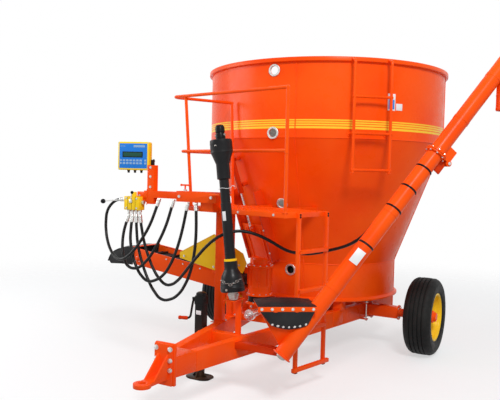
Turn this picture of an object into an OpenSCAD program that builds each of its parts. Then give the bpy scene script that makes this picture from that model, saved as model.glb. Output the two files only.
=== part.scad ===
// Vertical feed mixer wagon: open tub on an A-frame drawbar, two wheels, a side conveyor and a grain auger.
// Forward (the hitch) is -Y, the machine's left side is +X and the ground is z = 0.

/* [Tub] */
// Outer radius of the tub's upper cylinder
tub_r = 1215; // [1150:5:1260]
// Outer radius of the tub's bottom ring
low_r = 770; // [740:5:800]
// Height of the rim above the ground
rim_z = 2782; // [2700:5:2850]
// Height where the cone meets the upper cylinder
cone_top_z = 2070; // [2000:5:2140]
// Height where the cone meets the bottom ring
cone_low_z = 880; // [860:5:900]
// Underside of the tub's floor
floor_z = 520; // [510:1:530]
// Thickness of the tub's plates
wall = 8; // [5:1:12]
// Angle of the first of the four vertical seams
seam_angle = -80; // [-85:1:-75]
// Radius of a sight hole
sight_r = 38; // [25:1:45]

/* [Mixing auger] */
// Radius of the flight at its foot
flight_low_r = 690; // [600:5:720]
// Radius of the flight at its top
flight_top_r = 330; // [250:5:400]
// Height of the flight's top
flight_top_z = 2250; // [2000:10:2300]
// Turns of the flight
flight_turns = 2.5; // [2:0.25:3]

/* [Drawbar and wheels] */
// Distance of the drawbar's nose from the tub's axis
nose_y = 2700; // [2600:10:2800]
// Half spread of the drawbar beams at the nose
beam_x_nose = 57; // [50:1:80]
// Half spread of the drawbar beams at the tub's axis
beam_x_axis = 533; // [500:1:560]
// Width of a drawbar beam
beam_w = 70; // [60:1:90]
// Underside of the drawbar beams
beam_low_z = 290; // [270:1:310]
// Height of a drawbar beam
beam_h = 150; // [120:1:170]
// Distance of a wheel's middle from the centre line
wheel_x = 1144; // [1100:1:1200]
// Distance of the axle behind the tub's axis
axle_y = -68; // [-120:1:0]
// Radius of a tyre
tyre_r = 376; // [360:1:400]
// Width of a tyre
tyre_w = 264; // [240:1:290]
// Radius of a wheel rim's flange
rim_r = 222; // [210:1:230]

/* [Grain auger] */
// Outer radius of the auger tube
tube_r = 64; // [55:1:80]
// Length of the lower tube
tube_low_l = 1900; // [1800:10:2000]
// Length of the folding upper tube
tube_up_l = 1150; // [900:10:1300]
// Rise of the tube above the horizontal
tube_rise = 51; // [45:1:55]
// Turn of the tube to the side, seen from above
tube_turn = 46; // [40:1:50]

/* [Platform] */
// Length of the platform's floor
deck_l = 1100; // [1000:10:1150]
// Width of the platform's floor
deck_w = 560; // [500:10:580]
// Height of the platform's floor
deck_z = 1440; // [1420:5:1460]
// Turn of the platform, seen from above
deck_turn = 13; // [10:1:15]
// Height of the guard rail above the floor
guard_h = 960; // [900:10:1000]

/* [Hidden] */
$fn = 48;

// The row frame stands at the middle of the machine's outline box, on the ground.
frame_shift = [-116.35, 924.5, 0];

orange = [1.0, 0.33, 0.05];
deep_orange = [0.85, 0.24, 0.03];
yellow = [1.0, 0.8, 0.1];
black = [0.06, 0.06, 0.06];
steel = [0.6, 0.6, 0.62];

joint_gap = 6;
beam_top_z = beam_low_z + beam_h;
beam_turn = atan((beam_x_axis - beam_x_nose) / nose_y);
beam_rear_y = 480;
nose_l = 150;
hitch_z = 300;
eye_y = -3030;
eye_r = 26;
eye_outer_r = 62;

cone_slope = atan((tub_r - low_r) / (cone_top_z - cone_low_z));
ring_top_z = rim_z - 40;
flight_low_z = floor_z + 30;
shaft_r = 110;

// Sight holes in the tub's front: height, and 1 where the wall slopes.
sight_angle = -90;
SIGHT_Z = 0;
SIGHT_SLOPES = 1;
sights = [[2674, 0], [2110, 0], [1460, 1], [810, 0]];

// Discharge door in the cone, seen along the slope of the wall.
door_angle = -113;
door_w = 340;
door_l = 400;
door_t = 10;
door_off = 44;
collar_w = 290;
collar_low = 40;
collar_l = 300;

deck_corner = [527, -1989];
deck_t = 40;
rail_r = 14;

tube_start = [650, -2155, 450];

function lerp(a, b, t) = a + (b - a) * t;
function beam_x(y) = lerp(beam_x_nose, beam_x_axis, (nose_y + y) / nose_y);
function wall_r(z) = z >= cone_top_z ? tub_r
    : z <= cone_low_z ? low_r
    : lerp(low_r, tub_r, (z - cone_low_z) / (cone_top_z - cone_low_z));

// A straight round bar from p to q.
module bar(p, q, r) {
    v = q - p;
    translate(p) rotate([0, acos(v.z / norm(v)), atan2(v.y, v.x)])
        cylinder(r = r, h = norm(v), $fn = 24);
}

// A bent round bar through points, with a ball a little wider than the bar in each bend.
module bent_bar(points, r) {
    for (i = [0:len(points) - 2]) bar(points[i], points[i + 1], r);
    for (i = [1:len(points) - 2]) ball(points[i], r);
}

module ball(middle, r) {
    translate(middle) sphere(r = r + 1.5, $fn = 24);
}

// A block given by its middle and its size.
module block(middle, size) {
    translate(middle) cube(size, center = true);
}

// A drawbar beam; side is 1 on the left and -1 on the right.
module drawbar_beam(side) {
    l = (nose_y - nose_l + beam_rear_y) / cos(beam_turn);
    color(orange) difference() {
        translate([side * beam_x(-nose_y + nose_l), -nose_y + nose_l, beam_low_z])
            rotate([0, 0, -side * beam_turn])
                translate([-beam_w / 2, 0, 0]) cube([beam_w, l, beam_h]);
        axle_block(1);
    }
}

axle_h = 110;
axle_w = 110;
axle_l = 1760;
module axle_block(extra) {
    block([0, axle_y, tyre_r], [axle_l, axle_w + extra, axle_h + extra]);
}

module axle_beam() {
    color(orange) difference() {
        axle_block(0);
        translate([0, 0, 250]) cylinder(r = gearbox_r + 0.2, h = 250);
    }
    color(orange) for (side = [-1, 1])
        translate([side * axle_l / 2, axle_y, tyre_r]) rotate([0, side * 90, 0]) {
            cylinder(r = 42, h = 60);
            cylinder(r = 24.95, h = 330);
        }
}

cross_ys = [-1900, -900, 430];
cross_h = 110;
cross_z = beam_low_z + beam_h / 2;
module cross_members() {
    color(orange) for (y = cross_ys) difference() {
        block([0, y, cross_z], [2 * beam_x(y), 70, cross_h]);
        for (side = [-1, 1]) drawbar_envelope(side);
    }
    nose_box();
    tub_legs();
    pto_cradle();
}

// The space that a drawbar beam takes from y = from_y to the rear.
module drawbar_envelope(side, from_y = -nose_y) {
    l = (beam_rear_y + 400 - from_y) / cos(beam_turn);
    translate([side * beam_x(from_y), from_y, beam_low_z - 10]) rotate([0, 0, -side * beam_turn])
        translate([-beam_w / 2, 0, 0]) cube([beam_w, l, beam_h + 20]);
}

module nose_box() {
    rear_x = beam_x(-nose_y + nose_l) + beam_w / 2 + 1;
    color(orange) difference() {
        translate([0, 0, beam_low_z]) linear_extrude(beam_h) polygon([
            [-beam_x_nose - 20, -nose_y - 60], [beam_x_nose + 20, -nose_y - 60],
            [rear_x, -nose_y + nose_l + 6], [-rear_x, -nose_y + nose_l + 6]]);
        for (side = [-1, 1]) drawbar_envelope(side, -nose_y + nose_l);
    }
    color(orange) translate([0, -nose_y - 72, 385]) cube([170, 24, 300], center = true);
}

module hitch_plate() {
    plate_y = -nose_y - 84;
    color(orange) difference() {
        union() {
            block([0, plate_y - 10, 385], [150, 20, 290]);
            translate([0, 0, hitch_z - 14]) linear_extrude(28) union() {
                translate([0, eye_y]) circle(r = eye_outer_r);
                translate([-45, eye_y]) square([90, plate_y - 20 - eye_y]);
            }
            for (side = [-1, 1]) translate([side * 40 - 6, 0, 0]) rotate([90, 0, 90])
                linear_extrude(12) polygon([[plate_y - 20, hitch_z + 14], [plate_y - 20, 460],
                    [eye_y + 75, hitch_z + 14]]);
        }
        translate([0, eye_y, hitch_z - 50]) cylinder(r = eye_r, h = 100);
    }
}

// Half sections of a tyre and of its wheel: radius, then the distance outwards from the wheel's middle.
module tyre_section() {
    h = tyre_w / 2;
    polygon([[rim_r - 4, -h + 38], [rim_r + 26, -h + 12], [rim_r + 74, -h], [tyre_r - 44, -h + 8],
        [tyre_r - 14, -h + 26], [tyre_r, -h + 58], [tyre_r, h - 58], [tyre_r - 14, h - 26],
        [tyre_r - 44, h - 8], [rim_r + 74, h], [rim_r + 26, h - 12], [rim_r - 4, h - 38]]);
}

module wheel_section() {
    h = tyre_w / 2;
    polygon([[86, 22], [150, 22], [168, 34], [182, 34], [rim_r - 30, -h + 50], [rim_r - 4, -h + 38],
        [rim_r - 4, h - 38], [rim_r + 8, h - 34], [rim_r + 8, h - 26], [rim_r - 12, h - 30],
        [rim_r - 12, h - 52], [190, 46], [170, 46], [148, 34], [86, 34]]);
}

module at_wheel(side) {
    translate([side * wheel_x, axle_y, tyre_r]) rotate([0, side * 90, 0]) children();
}

module tyre(side) {
    color(black) at_wheel(side) rotate_extrude($fn = 96) difference() {
        tyre_section();
        wheel_section();
    }
}

module wheel(side) {
    color(yellow) at_wheel(side) rotate_extrude($fn = 96) wheel_section();
}

module hub(side) {
    color(orange) at_wheel(side) difference() {
        union() {
            translate([0, 0, -90]) cylinder(r = 60, h = 180);
            translate([0, 0, 6]) cylinder(r = 85.5, h = 28);
            translate([0, 0, 90]) cylinder(r = 46, h = 26);
        }
        translate([0, 0, -100]) cylinder(r = 25, h = 188);
    }
}

module sight_cutters(grow) {
    for (s = sights)
        rotate([0, 0, sight_angle]) translate([wall_r(s[SIGHT_Z]), 0, s[SIGHT_Z]])
            rotate([0, 90 + s[SIGHT_SLOPES] * cone_slope, 0])
                translate([0, 0, -60]) cylinder(r = sight_r + grow, h = 120);
}

// Upper ring quarter k of the tub.
module tub_ring(k) {
    color(orange) difference() {
        rotate([0, 0, seam_angle + 90 * (k - 1)]) rotate_extrude(angle = 90, $fn = 180)
            translate([tub_r - wall, cone_top_z]) square([wall, ring_top_z - cone_top_z]);
        if (k == 4) sight_cutters(0);
    }
}

// Cone quarter k of the tub.
module tub_cone(k) {
    color(orange) difference() {
        rotate([0, 0, seam_angle + 90 * (k - 1)]) rotate_extrude(angle = 90, $fn = 180)
            polygon([[low_r - wall, cone_low_z], [low_r, cone_low_z], [tub_r, cone_top_z],
                [tub_r - wall, cone_top_z]]);
        if (k == 4) sight_cutters(0);
        if (k == 4) door_space(collar_w - 20, collar_low + 10, collar_l - 20, -120, 120);
    }
}

module tub_base() {
    color(orange) difference() {
        translate([0, 0, floor_z]) cylinder(r = low_r, h = cone_low_z - floor_z, $fn = 180);
        translate([0, 0, floor_z + 12]) cylinder(r = low_r - wall, h = cone_low_z, $fn = 180);
        translate([0, 0, floor_z - 5]) cylinder(r = shaft_r + 6, h = 30);
        sight_cutters(0);
    }
}

module tub_rim() {
    color(orange) rotate_extrude($fn = 180)
        translate([tub_r - wall - 4, ring_top_z]) square([40, 40]);
}

module sight_rings() {
    color(steel) for (s = sights)
        rotate([0, 0, sight_angle]) translate([wall_r(s[SIGHT_Z]), 0, s[SIGHT_Z]])
            rotate([0, 90 + s[SIGHT_SLOPES] * cone_slope, 0]) difference() {
                cylinder(r = sight_r + 18, h = 9);
                translate([0, 0, -1]) cylinder(r = sight_r, h = 12);
            }
}

leg_ys = [-560, 380];
module tub_legs() {
    color(deep_orange) for (side = [-1, 1]) for (y = leg_ys)
        block([side * beam_x(y), y, (beam_top_z + floor_z) / 2], [90, 110, floor_z - beam_top_z]);
}

gearbox_r = 210;
module gearbox() {
    color(deep_orange) {
        translate([0, 0, 300]) cylinder(r = gearbox_r, h = 150);
        translate([0, 0, 450]) cylinder(r = 150, h = floor_z - 450);
        translate([0, 0, floor_z]) cylinder(r = 60, h = 17.5);
        block([0, -260, 365], [150, 140, 130]);
    }
}

// The flight is a band that winds up round the shaft and narrows towards the top.
flight_steps = 60;
flight_t = 12;
function flight_point(i, r, up) =
    let (t = i / flight_steps, a = 360 * flight_turns * t)
    [r * cos(a), r * sin(a), lerp(flight_low_z, flight_top_z, t) + up];
function flight_r(i) = lerp(flight_low_r, flight_top_r, pow(i / flight_steps, 0.8));

module flight() {
    points = [for (i = [0:flight_steps]) for (p = [
        flight_point(i, shaft_r - 12, 0), flight_point(i, flight_r(i), 0),
        flight_point(i, flight_r(i), flight_t), flight_point(i, shaft_r - 12, flight_t)]) p];
    last = 4 * flight_steps;
    sides = [for (i = [0:flight_steps - 1]) for (k = [0:3]) each [
        [4 * i + k, 4 * i + (k + 1) % 4, 4 * i + 4 + (k + 1) % 4],
        [4 * i + k, 4 * i + 4 + (k + 1) % 4, 4 * i + 4 + k]]];
    polyhedron(points, concat([[0, 3, 2, 1]], sides, [[last, last + 1, last + 2, last + 3]]), convexity = 6);
}

module mixing_auger() {
    color(deep_orange) {
        translate([0, 0, floor_z + 18]) cylinder(r = shaft_r, h = flight_top_z - floor_z);
        flight();
    }
}

// Local axes of the door: x across, y out of the wall and z up the slope.
module at_door() {
    rotate([0, 0, door_angle]) translate([low_r, 0, cone_low_z]) rotate([0, cone_slope, 0])
        rotate([0, 0, -90]) children();
}

module door_space(w, low, l, y0, y1) {
    at_door() translate([-w / 2, y0, low]) cube([w, y1 - y0, l]);
}

module tub_solid() {
    cylinder(r1 = low_r, r2 = tub_r, h = cone_top_z - cone_low_z, $fn = 180);
}

module door_frame() {
    door_cylinder();
    color(deep_orange) {
        difference() {
            door_space(collar_w, collar_low, collar_l, -60, door_off - joint_gap);
            door_space(collar_w - 20, collar_low + 10, collar_l - 20, -120, 120);
            translate([0, 0, cone_low_z]) tub_solid();
            translate([0, 0, floor_z]) cylinder(r = low_r, h = cone_low_z - floor_z, $fn = 180);
        }
        for (side = [-1, 1]) difference() {
            at_door() translate([side * (door_w / 2 + joint_gap + 11) - 11, -60, 20])
                cube([22, 60 + door_off + 30, 730]);
            at_door() translate([side * (door_w / 2 + joint_gap - 20) - 20, door_off - joint_gap, -5])
                cube([40, door_t + 2 * joint_gap, 800]);
            translate([0, 0, cone_low_z]) tub_solid();
        }
    }
}

module discharge_door() {
    color(orange) at_door() {
        translate([-door_w / 2, door_off, 0]) cube([door_w, door_t, door_l]);
        translate([-30, door_off + door_t, door_l - 60]) cube([60, 50, 60]);
        translate([0, door_off + door_t + 25, door_l]) cylinder(r = 11, h = 390);
    }
}

cylinder_low = 740;
module door_cylinder() {
    color(deep_orange) difference() {
        union() {
            at_door() translate([0, door_off + door_t + 25, cylinder_low]) cylinder(r = 26, h = 400);
            for (z = [cylinder_low + 60, cylinder_low + 320])
                at_door() translate([-30, -60, z]) cube([60, 60 + door_off + door_t, 30]);
        }
        at_door() translate([0, door_off + door_t + 25, cylinder_low - 1]) cylinder(r = 17, h = 385);
        translate([0, 0, cone_low_z]) tub_solid();
    }
}

drum = [-90, -1230];
module drive_gearbox() {
    color(orange) translate([drum.x, drum.y, 0]) {
        translate([0, 0, 550]) cylinder(r = 125, h = 14);
        translate([0, 0, 564]) cylinder(r = 100, h = 60);
        translate([0, 0, 624]) cylinder(r = 118, h = 18);
        translate([0, 0, 642]) cylinder(r = 106, h = 240);
        translate([0, 0, 882]) cylinder(r = 122, h = 20);
        translate([0, 0, 902]) cylinder(r = 70, h = 60);
        block([0, 0, (beam_top_z + 550) / 2], [150, 120, 550 - beam_top_z]);
    }
    color(orange) difference() {
        block([0, drum.y, beam_top_z - 30], [2 * beam_x(drum.y), 100, 60]);
        for (side = [-1, 1]) drawbar_envelope(side);
    }
}

input_z = 510;
module input_shaft() {
    color(steel) translate([0, -1640, input_z]) rotate([-90, 0, 0]) {
        cylinder(r = 17.5, h = 60);
        translate([0, 0, 60]) cylinder(r = 48, h = 40);
        translate([0, 0, 100]) cylinder(r = 30, h = 249);
    }
}

// The conveyor rises from the discharge door towards the machine's right side.
conv_start = [-290, 0, 640];
conv_end = [-1480, 0, 800];
conv_y = -1150;
conv_w = 400;
conv_h = 165;
conv_rise = atan((conv_end.z - conv_start.z) / (conv_start.x - conv_end.x));
conv_l = norm(conv_end - conv_start);
module at_conveyor() {
    translate([conv_start.x, conv_y, conv_start.z]) rotate([0, conv_rise, 0]) rotate([0, 0, 180]) children();
}

module conveyor() {
    color(orange) {
        at_conveyor() for (side = [-1, 1])
            translate([0, side * (conv_w / 2) - 4, 0]) cube([conv_l, 8, conv_h]);
        at_conveyor() translate([0, -conv_w / 2 + 4, 0]) cube([conv_l - 40, conv_w - 8, 6]);
        for (y = [conv_y - 150, conv_y + 150]) {
            x = -beam_x(y);
            difference() {
                block([x, y, (beam_top_z + 640) / 2 + 60], [60, 50, 640 - beam_top_z + 120]);
                at_conveyor() translate([-50, -conv_w / 2, 0]) cube([conv_l + 100, conv_w, 400]);
            }
        }
    }
}

module conveyor_belt() {
    color(black) at_conveyor() for (x = [60, conv_l - 60])
        translate([x, 0, 62]) rotate([90, 0, 0]) cylinder(r = 40, h = conv_w - 30, center = true);
    color(black) at_conveyor() difference() {
        translate([60, -conv_w / 2 + 15, 20]) cube([conv_l - 120, conv_w - 30, 84]);
        translate([60, -conv_w / 2, 26]) cube([conv_l - 120, conv_w, 72]);
    }
}

module conveyor_flap() {
    color(black) at_conveyor() {
        translate([conv_l, 0, 0]) rotate([90, 0, 0]) linear_extrude(conv_w + 20, center = true) polygon([
            [0, conv_h + 6], [140, conv_h - 10], [270, conv_h - 70], [330, conv_h - 190],
            [318, conv_h - 190], [258, conv_h - 78], [134, conv_h - 22], [0, conv_h - 6]]);
    }
    color(black) at_conveyor() for (side = [-1, 1]) translate([conv_l, side * (conv_w / 2 + 7) - 3, 0])
        rotate([90, 0, 0]) mirror([0, 0, 1]) linear_extrude(6) polygon([
            [0, -10], [280, -60], [318, conv_h - 190], [258, conv_h - 78],
            [134, conv_h - 22], [0, conv_h - 6]]);
}

// A sheet that guards the conveyor's front side below the platform.
module guard_sheet() {
    color(yellow) translate([0, -1370, 0]) rotate([90, 0, 0]) linear_extrude(4) polygon([
        [-890, 912], [-890, 968], [-506, 1167], [-190, 1010], [-150, 920], [-190, 830], [-500, 830]]);
    color(orange) block([-505, -1362, 970], [40, 16, 340]);
}

// Local axes of the platform: x towards the machine's right, y to the rear, z from the ground.
module at_deck() {
    translate([deck_corner.x, deck_corner.y, 0]) rotate([0, 0, -deck_turn]) mirror([1, 0, 0]) children();
}

bearer_x = 770;
bearer_w = 165;
deck_arm_xs = [420, 860];
deck_arm_l = 420;
module deck() {
    color(orange) at_deck() {
        for (x = [0, deck_l - 40]) translate([x, 0, deck_z - deck_t]) cube([40, deck_w, deck_t]);
        for (y = [0, deck_w - 40]) translate([0, y, deck_z - deck_t]) cube([deck_l, 40, deck_t]);
        translate([bearer_x, 0, deck_z - deck_t]) cube([bearer_w, deck_w, deck_t]);
        translate([0, 0, deck_z - 4]) cube([deck_l, deck_w, 4]);
    }
    color(orange) difference() {
        at_deck() for (x = deck_arm_xs) translate([x, deck_w, deck_z - deck_t]) cube([40, deck_arm_l, deck_t]);
        translate([0, 0, cone_low_z]) tub_solid();
    }
}

// Guard rail posts: x and y at the floor, x and y at the top rail.
guard_posts = [[14, 14, -10, -20], [deck_l - 20, 14, deck_l + 30, -30],
    [deck_l - 20, deck_w - 20, deck_l + 60, deck_w + 20]];
module guard_rails() {
    top_z = deck_z + guard_h;
    mid_z = deck_z + 0.5 * guard_h;
    color(orange) at_deck() {
        for (p = guard_posts) bar([p[0], p[1], deck_z + 1.5], [p[2], p[3], top_z], rail_r);
        bent_bar([[-10, -20, top_z], [deck_l + 160, -40, top_z], [deck_l + 190, 10, top_z],
            [deck_l + 60, deck_w + 20, top_z]], rail_r);
        bent_bar([[2, -3, mid_z], [deck_l + 80, -14, mid_z], [deck_l + 100, 20, mid_z],
            [deck_l + 20, deck_w, mid_z]], rail_r);
        for (i = [0, 2]) ball([guard_posts[i][2], guard_posts[i][3], top_z], rail_r);
    }
}

ladder_ys = [150, 520];
lower_rungs = [200, 510, 820, 1130];
module lower_ladder() {
    color(orange) at_deck() {
        for (y = ladder_ys) translate([-30, y - 15, 170]) cube([30, 30, deck_z - 170]);
        for (z = lower_rungs) translate([-45, ladder_ys[0] - (z < 300 ? 50 : 0), z - 16])
            cube([30, ladder_ys[1] - ladder_ys[0] + (z < 300 ? 100 : 0), 32]);
    }
}

upper_angle = -49;
upper_r = 1300;
upper_w = 340;
upper_rungs = [1790, 2110, 2430];
module upper_ladder() {
    wall_x = sqrt(pow(tub_r, 2) - pow(upper_w / 2, 2)) + 1;
    rim_x = sqrt(pow(tub_r + 28, 2) - pow(upper_w / 2, 2)) + 1;
    color(orange) difference() {
        upper_ladder_bars(wall_x, rim_x);
        translate([0, 0, ring_top_z - 1]) cylinder(r = tub_r + 28, h = 42, $fn = 180);
    }
}

module upper_ladder_bars(wall_x, rim_x) {
    rotate([0, 0, upper_angle]) {
        for (side = [-1, 1]) {
            translate([upper_r, side * upper_w / 2, 1760]) cylinder(r = 13, h = rim_z - 1760 - 24);
            bar([upper_r, side * upper_w / 2, rim_z - 40], [rim_x, side * upper_w / 2, rim_z - 20], 13);
            bar([upper_r, side * upper_w / 2, 2110], [wall_x, side * upper_w / 2, 2110], 10);
        }
        for (z = upper_rungs) translate([upper_r, 0, z]) rotate([90, 0, 0])
            cylinder(r = 13, h = upper_w, center = true);
    }
}

// Posts on the right beam: y, width and depth.
posts_at = [[-1682, 80, 60], [-1440, 50, 50]];
module posts() {
    h = deck_z - deck_t - beam_top_z;
    color(orange) for (p = posts_at) block([-beam_x(p[0]), p[0], beam_top_z + h / 2], [p[1], p[2], h]);
}

jack_y = -1900;
jack_x = -beam_x(jack_y) - beam_w / 2 - 52;
module jack() {
    color(black) translate([jack_x, jack_y, 0]) difference() {
        union() {
            translate([-40, -40, 130]) cube([80, 80, 570]);
            translate([0, 0, 700]) cylinder(r = 46, h = 30);
            translate([40, -50, beam_low_z]) cube([12.5, 100, beam_h]);
        }
        translate([-31, -31, 120]) cube([62, 62, 500]);
        translate([-jack_x, -jack_y, 0]) drawbar_envelope(-1);
    }
    jack_leg();
    color(black) {
        bar([jack_x - 38, jack_y, 670], [jack_x - 70, jack_y - 20, 670], 10);
        bent_bar([[jack_x - 66, jack_y - 18, 676], [jack_x - 90, jack_y - 30, 500],
            [jack_x - 190, jack_y - 60, 500]], 10);
        bar([jack_x - 110, jack_y - 36, 500], [jack_x - 190, jack_y - 60, 500], 17);
    }
}

module jack_leg() {
    color(steel) translate([jack_x, jack_y, 0]) {
        translate([-30.5, -30.5, 12]) cube([61, 61, 500]);
        translate([-115, -85, 0]) cube([230, 170, 12]);
    }
}

// The arm stands on a bracket of the platform and carries the monitor and the valve.
arm_z = 1530;
arm_y = -1905;
module arm() {
    color(orange) {
        block([-330, arm_y, arm_z], [400, 90, 90]);
        block([-680, arm_y, arm_z + 6], [420, 60, 60]);
        difference() {
            union() {
                block([-820, arm_y, arm_z + 90], [70, 60, 340]);
                block([-895, arm_y, arm_z - 20], [160, 30, 90]);
            }
            valve_block();
            at_monitor() cube([290, 90, 250], center = true);
            at_monitor() monitor_plug();
        }
        translate([-470, arm_y, arm_z + 45]) cylinder(r = 7, h = 45);
        block([-470, arm_y, arm_z + 96], [80, 14, 14]);
        difference() {
            block([-237, -1800, (arm_z + deck_z) / 2], [120, 250, arm_z - deck_z + 60]);
            at_deck() translate([-10, -1, deck_z - deck_t]) cube([deck_l + 20, deck_w, deck_t]);
        }
        difference() {
            block([-60, -1985, arm_z + 30], [180, 90, 12]);
            at_pto() cylinder(r = 43, h = 900);
        }
    }
}

monitor_at = [-1000, -1930, 1868];
module at_monitor() {
    translate(monitor_at) rotate([0, 0, 18]) children();
}

module monitor_plug() {
    translate([150, 30, -60]) cube([40, 40, 60], center = true);
}

module monitor() {
    color(yellow) at_monitor() difference() {
        cube([290, 90, 250], center = true);
        translate([0, -50, 0]) cube([262, 24, 222], center = true);
    }
    color([0.1, 0.35, 0.75]) at_monitor() translate([0, -37, 0]) cube([262, 6, 222], center = true);
    color(black) at_monitor() monitor_plug();
}

valve_at = [-1000, -1930, 1450];
module valve_block() {
    block(valve_at, [170, 80, 120]);
}

module valve() {
    color(yellow) {
        valve_block();
        translate(valve_at + [0, 0, 60]) cylinder(r = 22, h = 40);
    }
    color(steel) for (x = [-100, -30, 40, 110])
        translate(valve_at + [x * 0.6, 0, -60]) mirror([0, 0, 1]) cylinder(r = 13, h = 40);
    color(black) {
        bar(valve_at + [-80, -20, 30], valve_at + [-300, -60, 8], 6);
        translate(valve_at + [-310, -62, 6]) sphere(r = 24);
    }
}

pto_top = [-48, -2030, 2018];
pto_low = [100, -2030, 800];
module at_pto() {
    v = pto_top - pto_low;
    translate(pto_low) rotate([0, acos(v.z / norm(v)), atan2(v.y, v.x)]) children();
}

module pto_shaft() {
    l = norm(pto_top - pto_low);
    color(black) at_pto() {
        cylinder(r1 = 95, r2 = 80, h = 120);
        translate([0, 0, 120]) cylinder(r1 = 80, r2 = 50, h = 60);
        translate([0, 0, 180]) cylinder(r = 50, h = 60);
        translate([0, 0, 240]) cylinder(r = 42, h = l - 240 - 330);
        translate([0, 0, l - 330]) cylinder(r = 50, h = 120);
        translate([0, 0, l - 210]) cylinder(r1 = 50, r2 = 84, h = 90);
        translate([0, 0, l - 120]) cylinder(r = 86, h = 100);
        translate([0, 0, l - 20]) cylinder(r = 40, h = 60);
    }
    color(steel) at_pto() difference() {
        translate([0, 0, l + 40]) cylinder(r = 38, h = 60);
        translate([0, 0, l + 30]) cylinder(r = 17.5, h = 80);
    }
    color(steel) at_pto() translate([0, 0, -70]) cylinder(r = 40, h = 70);
}

// A plate on a stalk, on which the stowed shaft rests.
cradle_z = 725;
module pto_cradle() {
    foot_z = cross_z + cross_h / 2;
    color(orange) {
        block([80, -1975, cradle_z - 5], [100, 170, 10]);
        block([80, -1900, (foot_z + cradle_z - 10) / 2], [50, 20, cradle_z - 10 - foot_z]);
    }
}

// The grain auger starts in its hopper and rises to the machine's left.
module at_tube() {
    translate(tube_start) rotate([0, 0, tube_turn]) rotate([0, 90 - tube_rise, 0]) children();
}

module tube_lower() {
    color(orange) at_tube() difference() {
        union() {
            translate([0, 0, -60]) cylinder(r = tube_r, h = tube_low_l + 60);
            translate([0, 0, -70]) cylinder(r = tube_r + 12, h = 10);
            translate([0, 0, tube_low_l - 10]) cylinder(r = tube_r + 22, h = 10);
        }
        translate([0, 0, tube_low_l - 400]) cylinder(r = tube_r - 4, h = 401);
    }
}

module tube_upper() {
    color(orange) difference() {
        at_tube() translate([0, 0, tube_low_l + 5]) {
            cylinder(r = tube_r, h = tube_up_l);
            cylinder(r = tube_r + 22, h = 10);
        }
        at_tube() translate([0, 0, tube_low_l]) cylinder(r = tube_r - 4, h = tube_up_l - 5);
        at_spout() cylinder(r = tube_r - 10, h = spout_l);
    }
    color(orange) at_tube() translate([tube_r + 60, 0, tube_low_l + 5]) hinge_ear(1);
}

// The spout hangs straight down from the end of the upper tube.
spout_r = 80;
spout_l = 420;
spout_back = 140;
module at_spout() {
    at_tube() translate([0, 0, tube_low_l + 5 + tube_up_l - spout_back])
        rotate([0, tube_rise - 90, 0]) mirror([0, 0, 1]) children();
}

module spout() {
    color(orange) difference() {
        at_spout() cylinder(r = spout_r, h = spout_l);
        at_spout() translate([0, 0, -1]) cylinder(r = spout_r - 5, h = spout_l + 2);
        at_tube() cylinder(r = tube_r, h = tube_low_l + tube_up_l + 5);
    }
}

// Hinge below the tube: an ear on each flange, with the pin across.
module hinge_ear(up) {
    for (side = up ? [-1, 1] : [0])
        translate([0, side * 30, 0]) rotate([90, 0, 0]) difference() {
            union() {
                cylinder(r = 24, h = 16, center = true);
                translate([-80, up ? 0 : -110, -8]) cube([80, 110, 16]);
            }
            cylinder(r = 8.05, h = 40, center = true);
        }
}

module tube_brackets() {
    color(deep_orange) {
        at_tube() difference() {
            translate([tube_r + 60, 0, tube_low_l + 5]) hinge_ear(0);
            cylinder(r = tube_r, h = tube_low_l);
            translate([0, 0, tube_low_l - 11]) cylinder(r = tube_r + 22, h = 12);
            translate([-200, -200, tube_low_l - 1]) cube([200 + tube_r + 23, 400, 30]);
        }
        at_tube() translate([tube_r + 60, 0, tube_low_l + 5]) rotate([90, 0, 0])
            cylinder(r = 8, h = 90, center = true);
        difference() {
            block([400, -2100, 400], [480, 80, 50]);
            drawbar_envelope(1);
            block([0, -2100, 400], [2 * beam_x(-2100), 90, 60]);
            at_tube() translate([0, 0, -60]) cylinder(r = tube_r, h = 600);
            at_tube() translate([0, 0, -75]) cylinder(r = tube_r + 12, h = 15);
        }
    }
}

hopper_at = [590, -2100, 520];
module hopper() {
    color(orange) difference() {
        translate(hopper_at) rotate([0, 0, tube_turn - 10]) hull() {
            translate([0, 0, 250]) cube([430, 300, 4], center = true);
            translate([40, 0, -60]) cube([150, 120, 4], center = true);
        }
        translate(hopper_at + [0, 0, 8]) rotate([0, 0, tube_turn - 10]) hull() {
            translate([0, 0, 250]) cube([418, 288, 4], center = true);
            translate([40, 0, -60]) cube([138, 108, 4], center = true);
        }
        at_tube() translate([0, 0, -60]) cylinder(r = tube_r, h = tube_low_l);
    }
}

module hopper_cover() {
    color(black) difference() {
        translate(hopper_at + [0, 0, 254]) rotate([0, 0, tube_turn - 10]) hull() {
            translate([0, 0, 2]) cube([440, 310, 4], center = true);
            translate([-20, 0, 40]) cube([300, 220, 4], center = true);
        }
        at_tube() translate([0, 0, -60]) cylinder(r = tube_r + 3, h = tube_low_l);
    }
}

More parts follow.
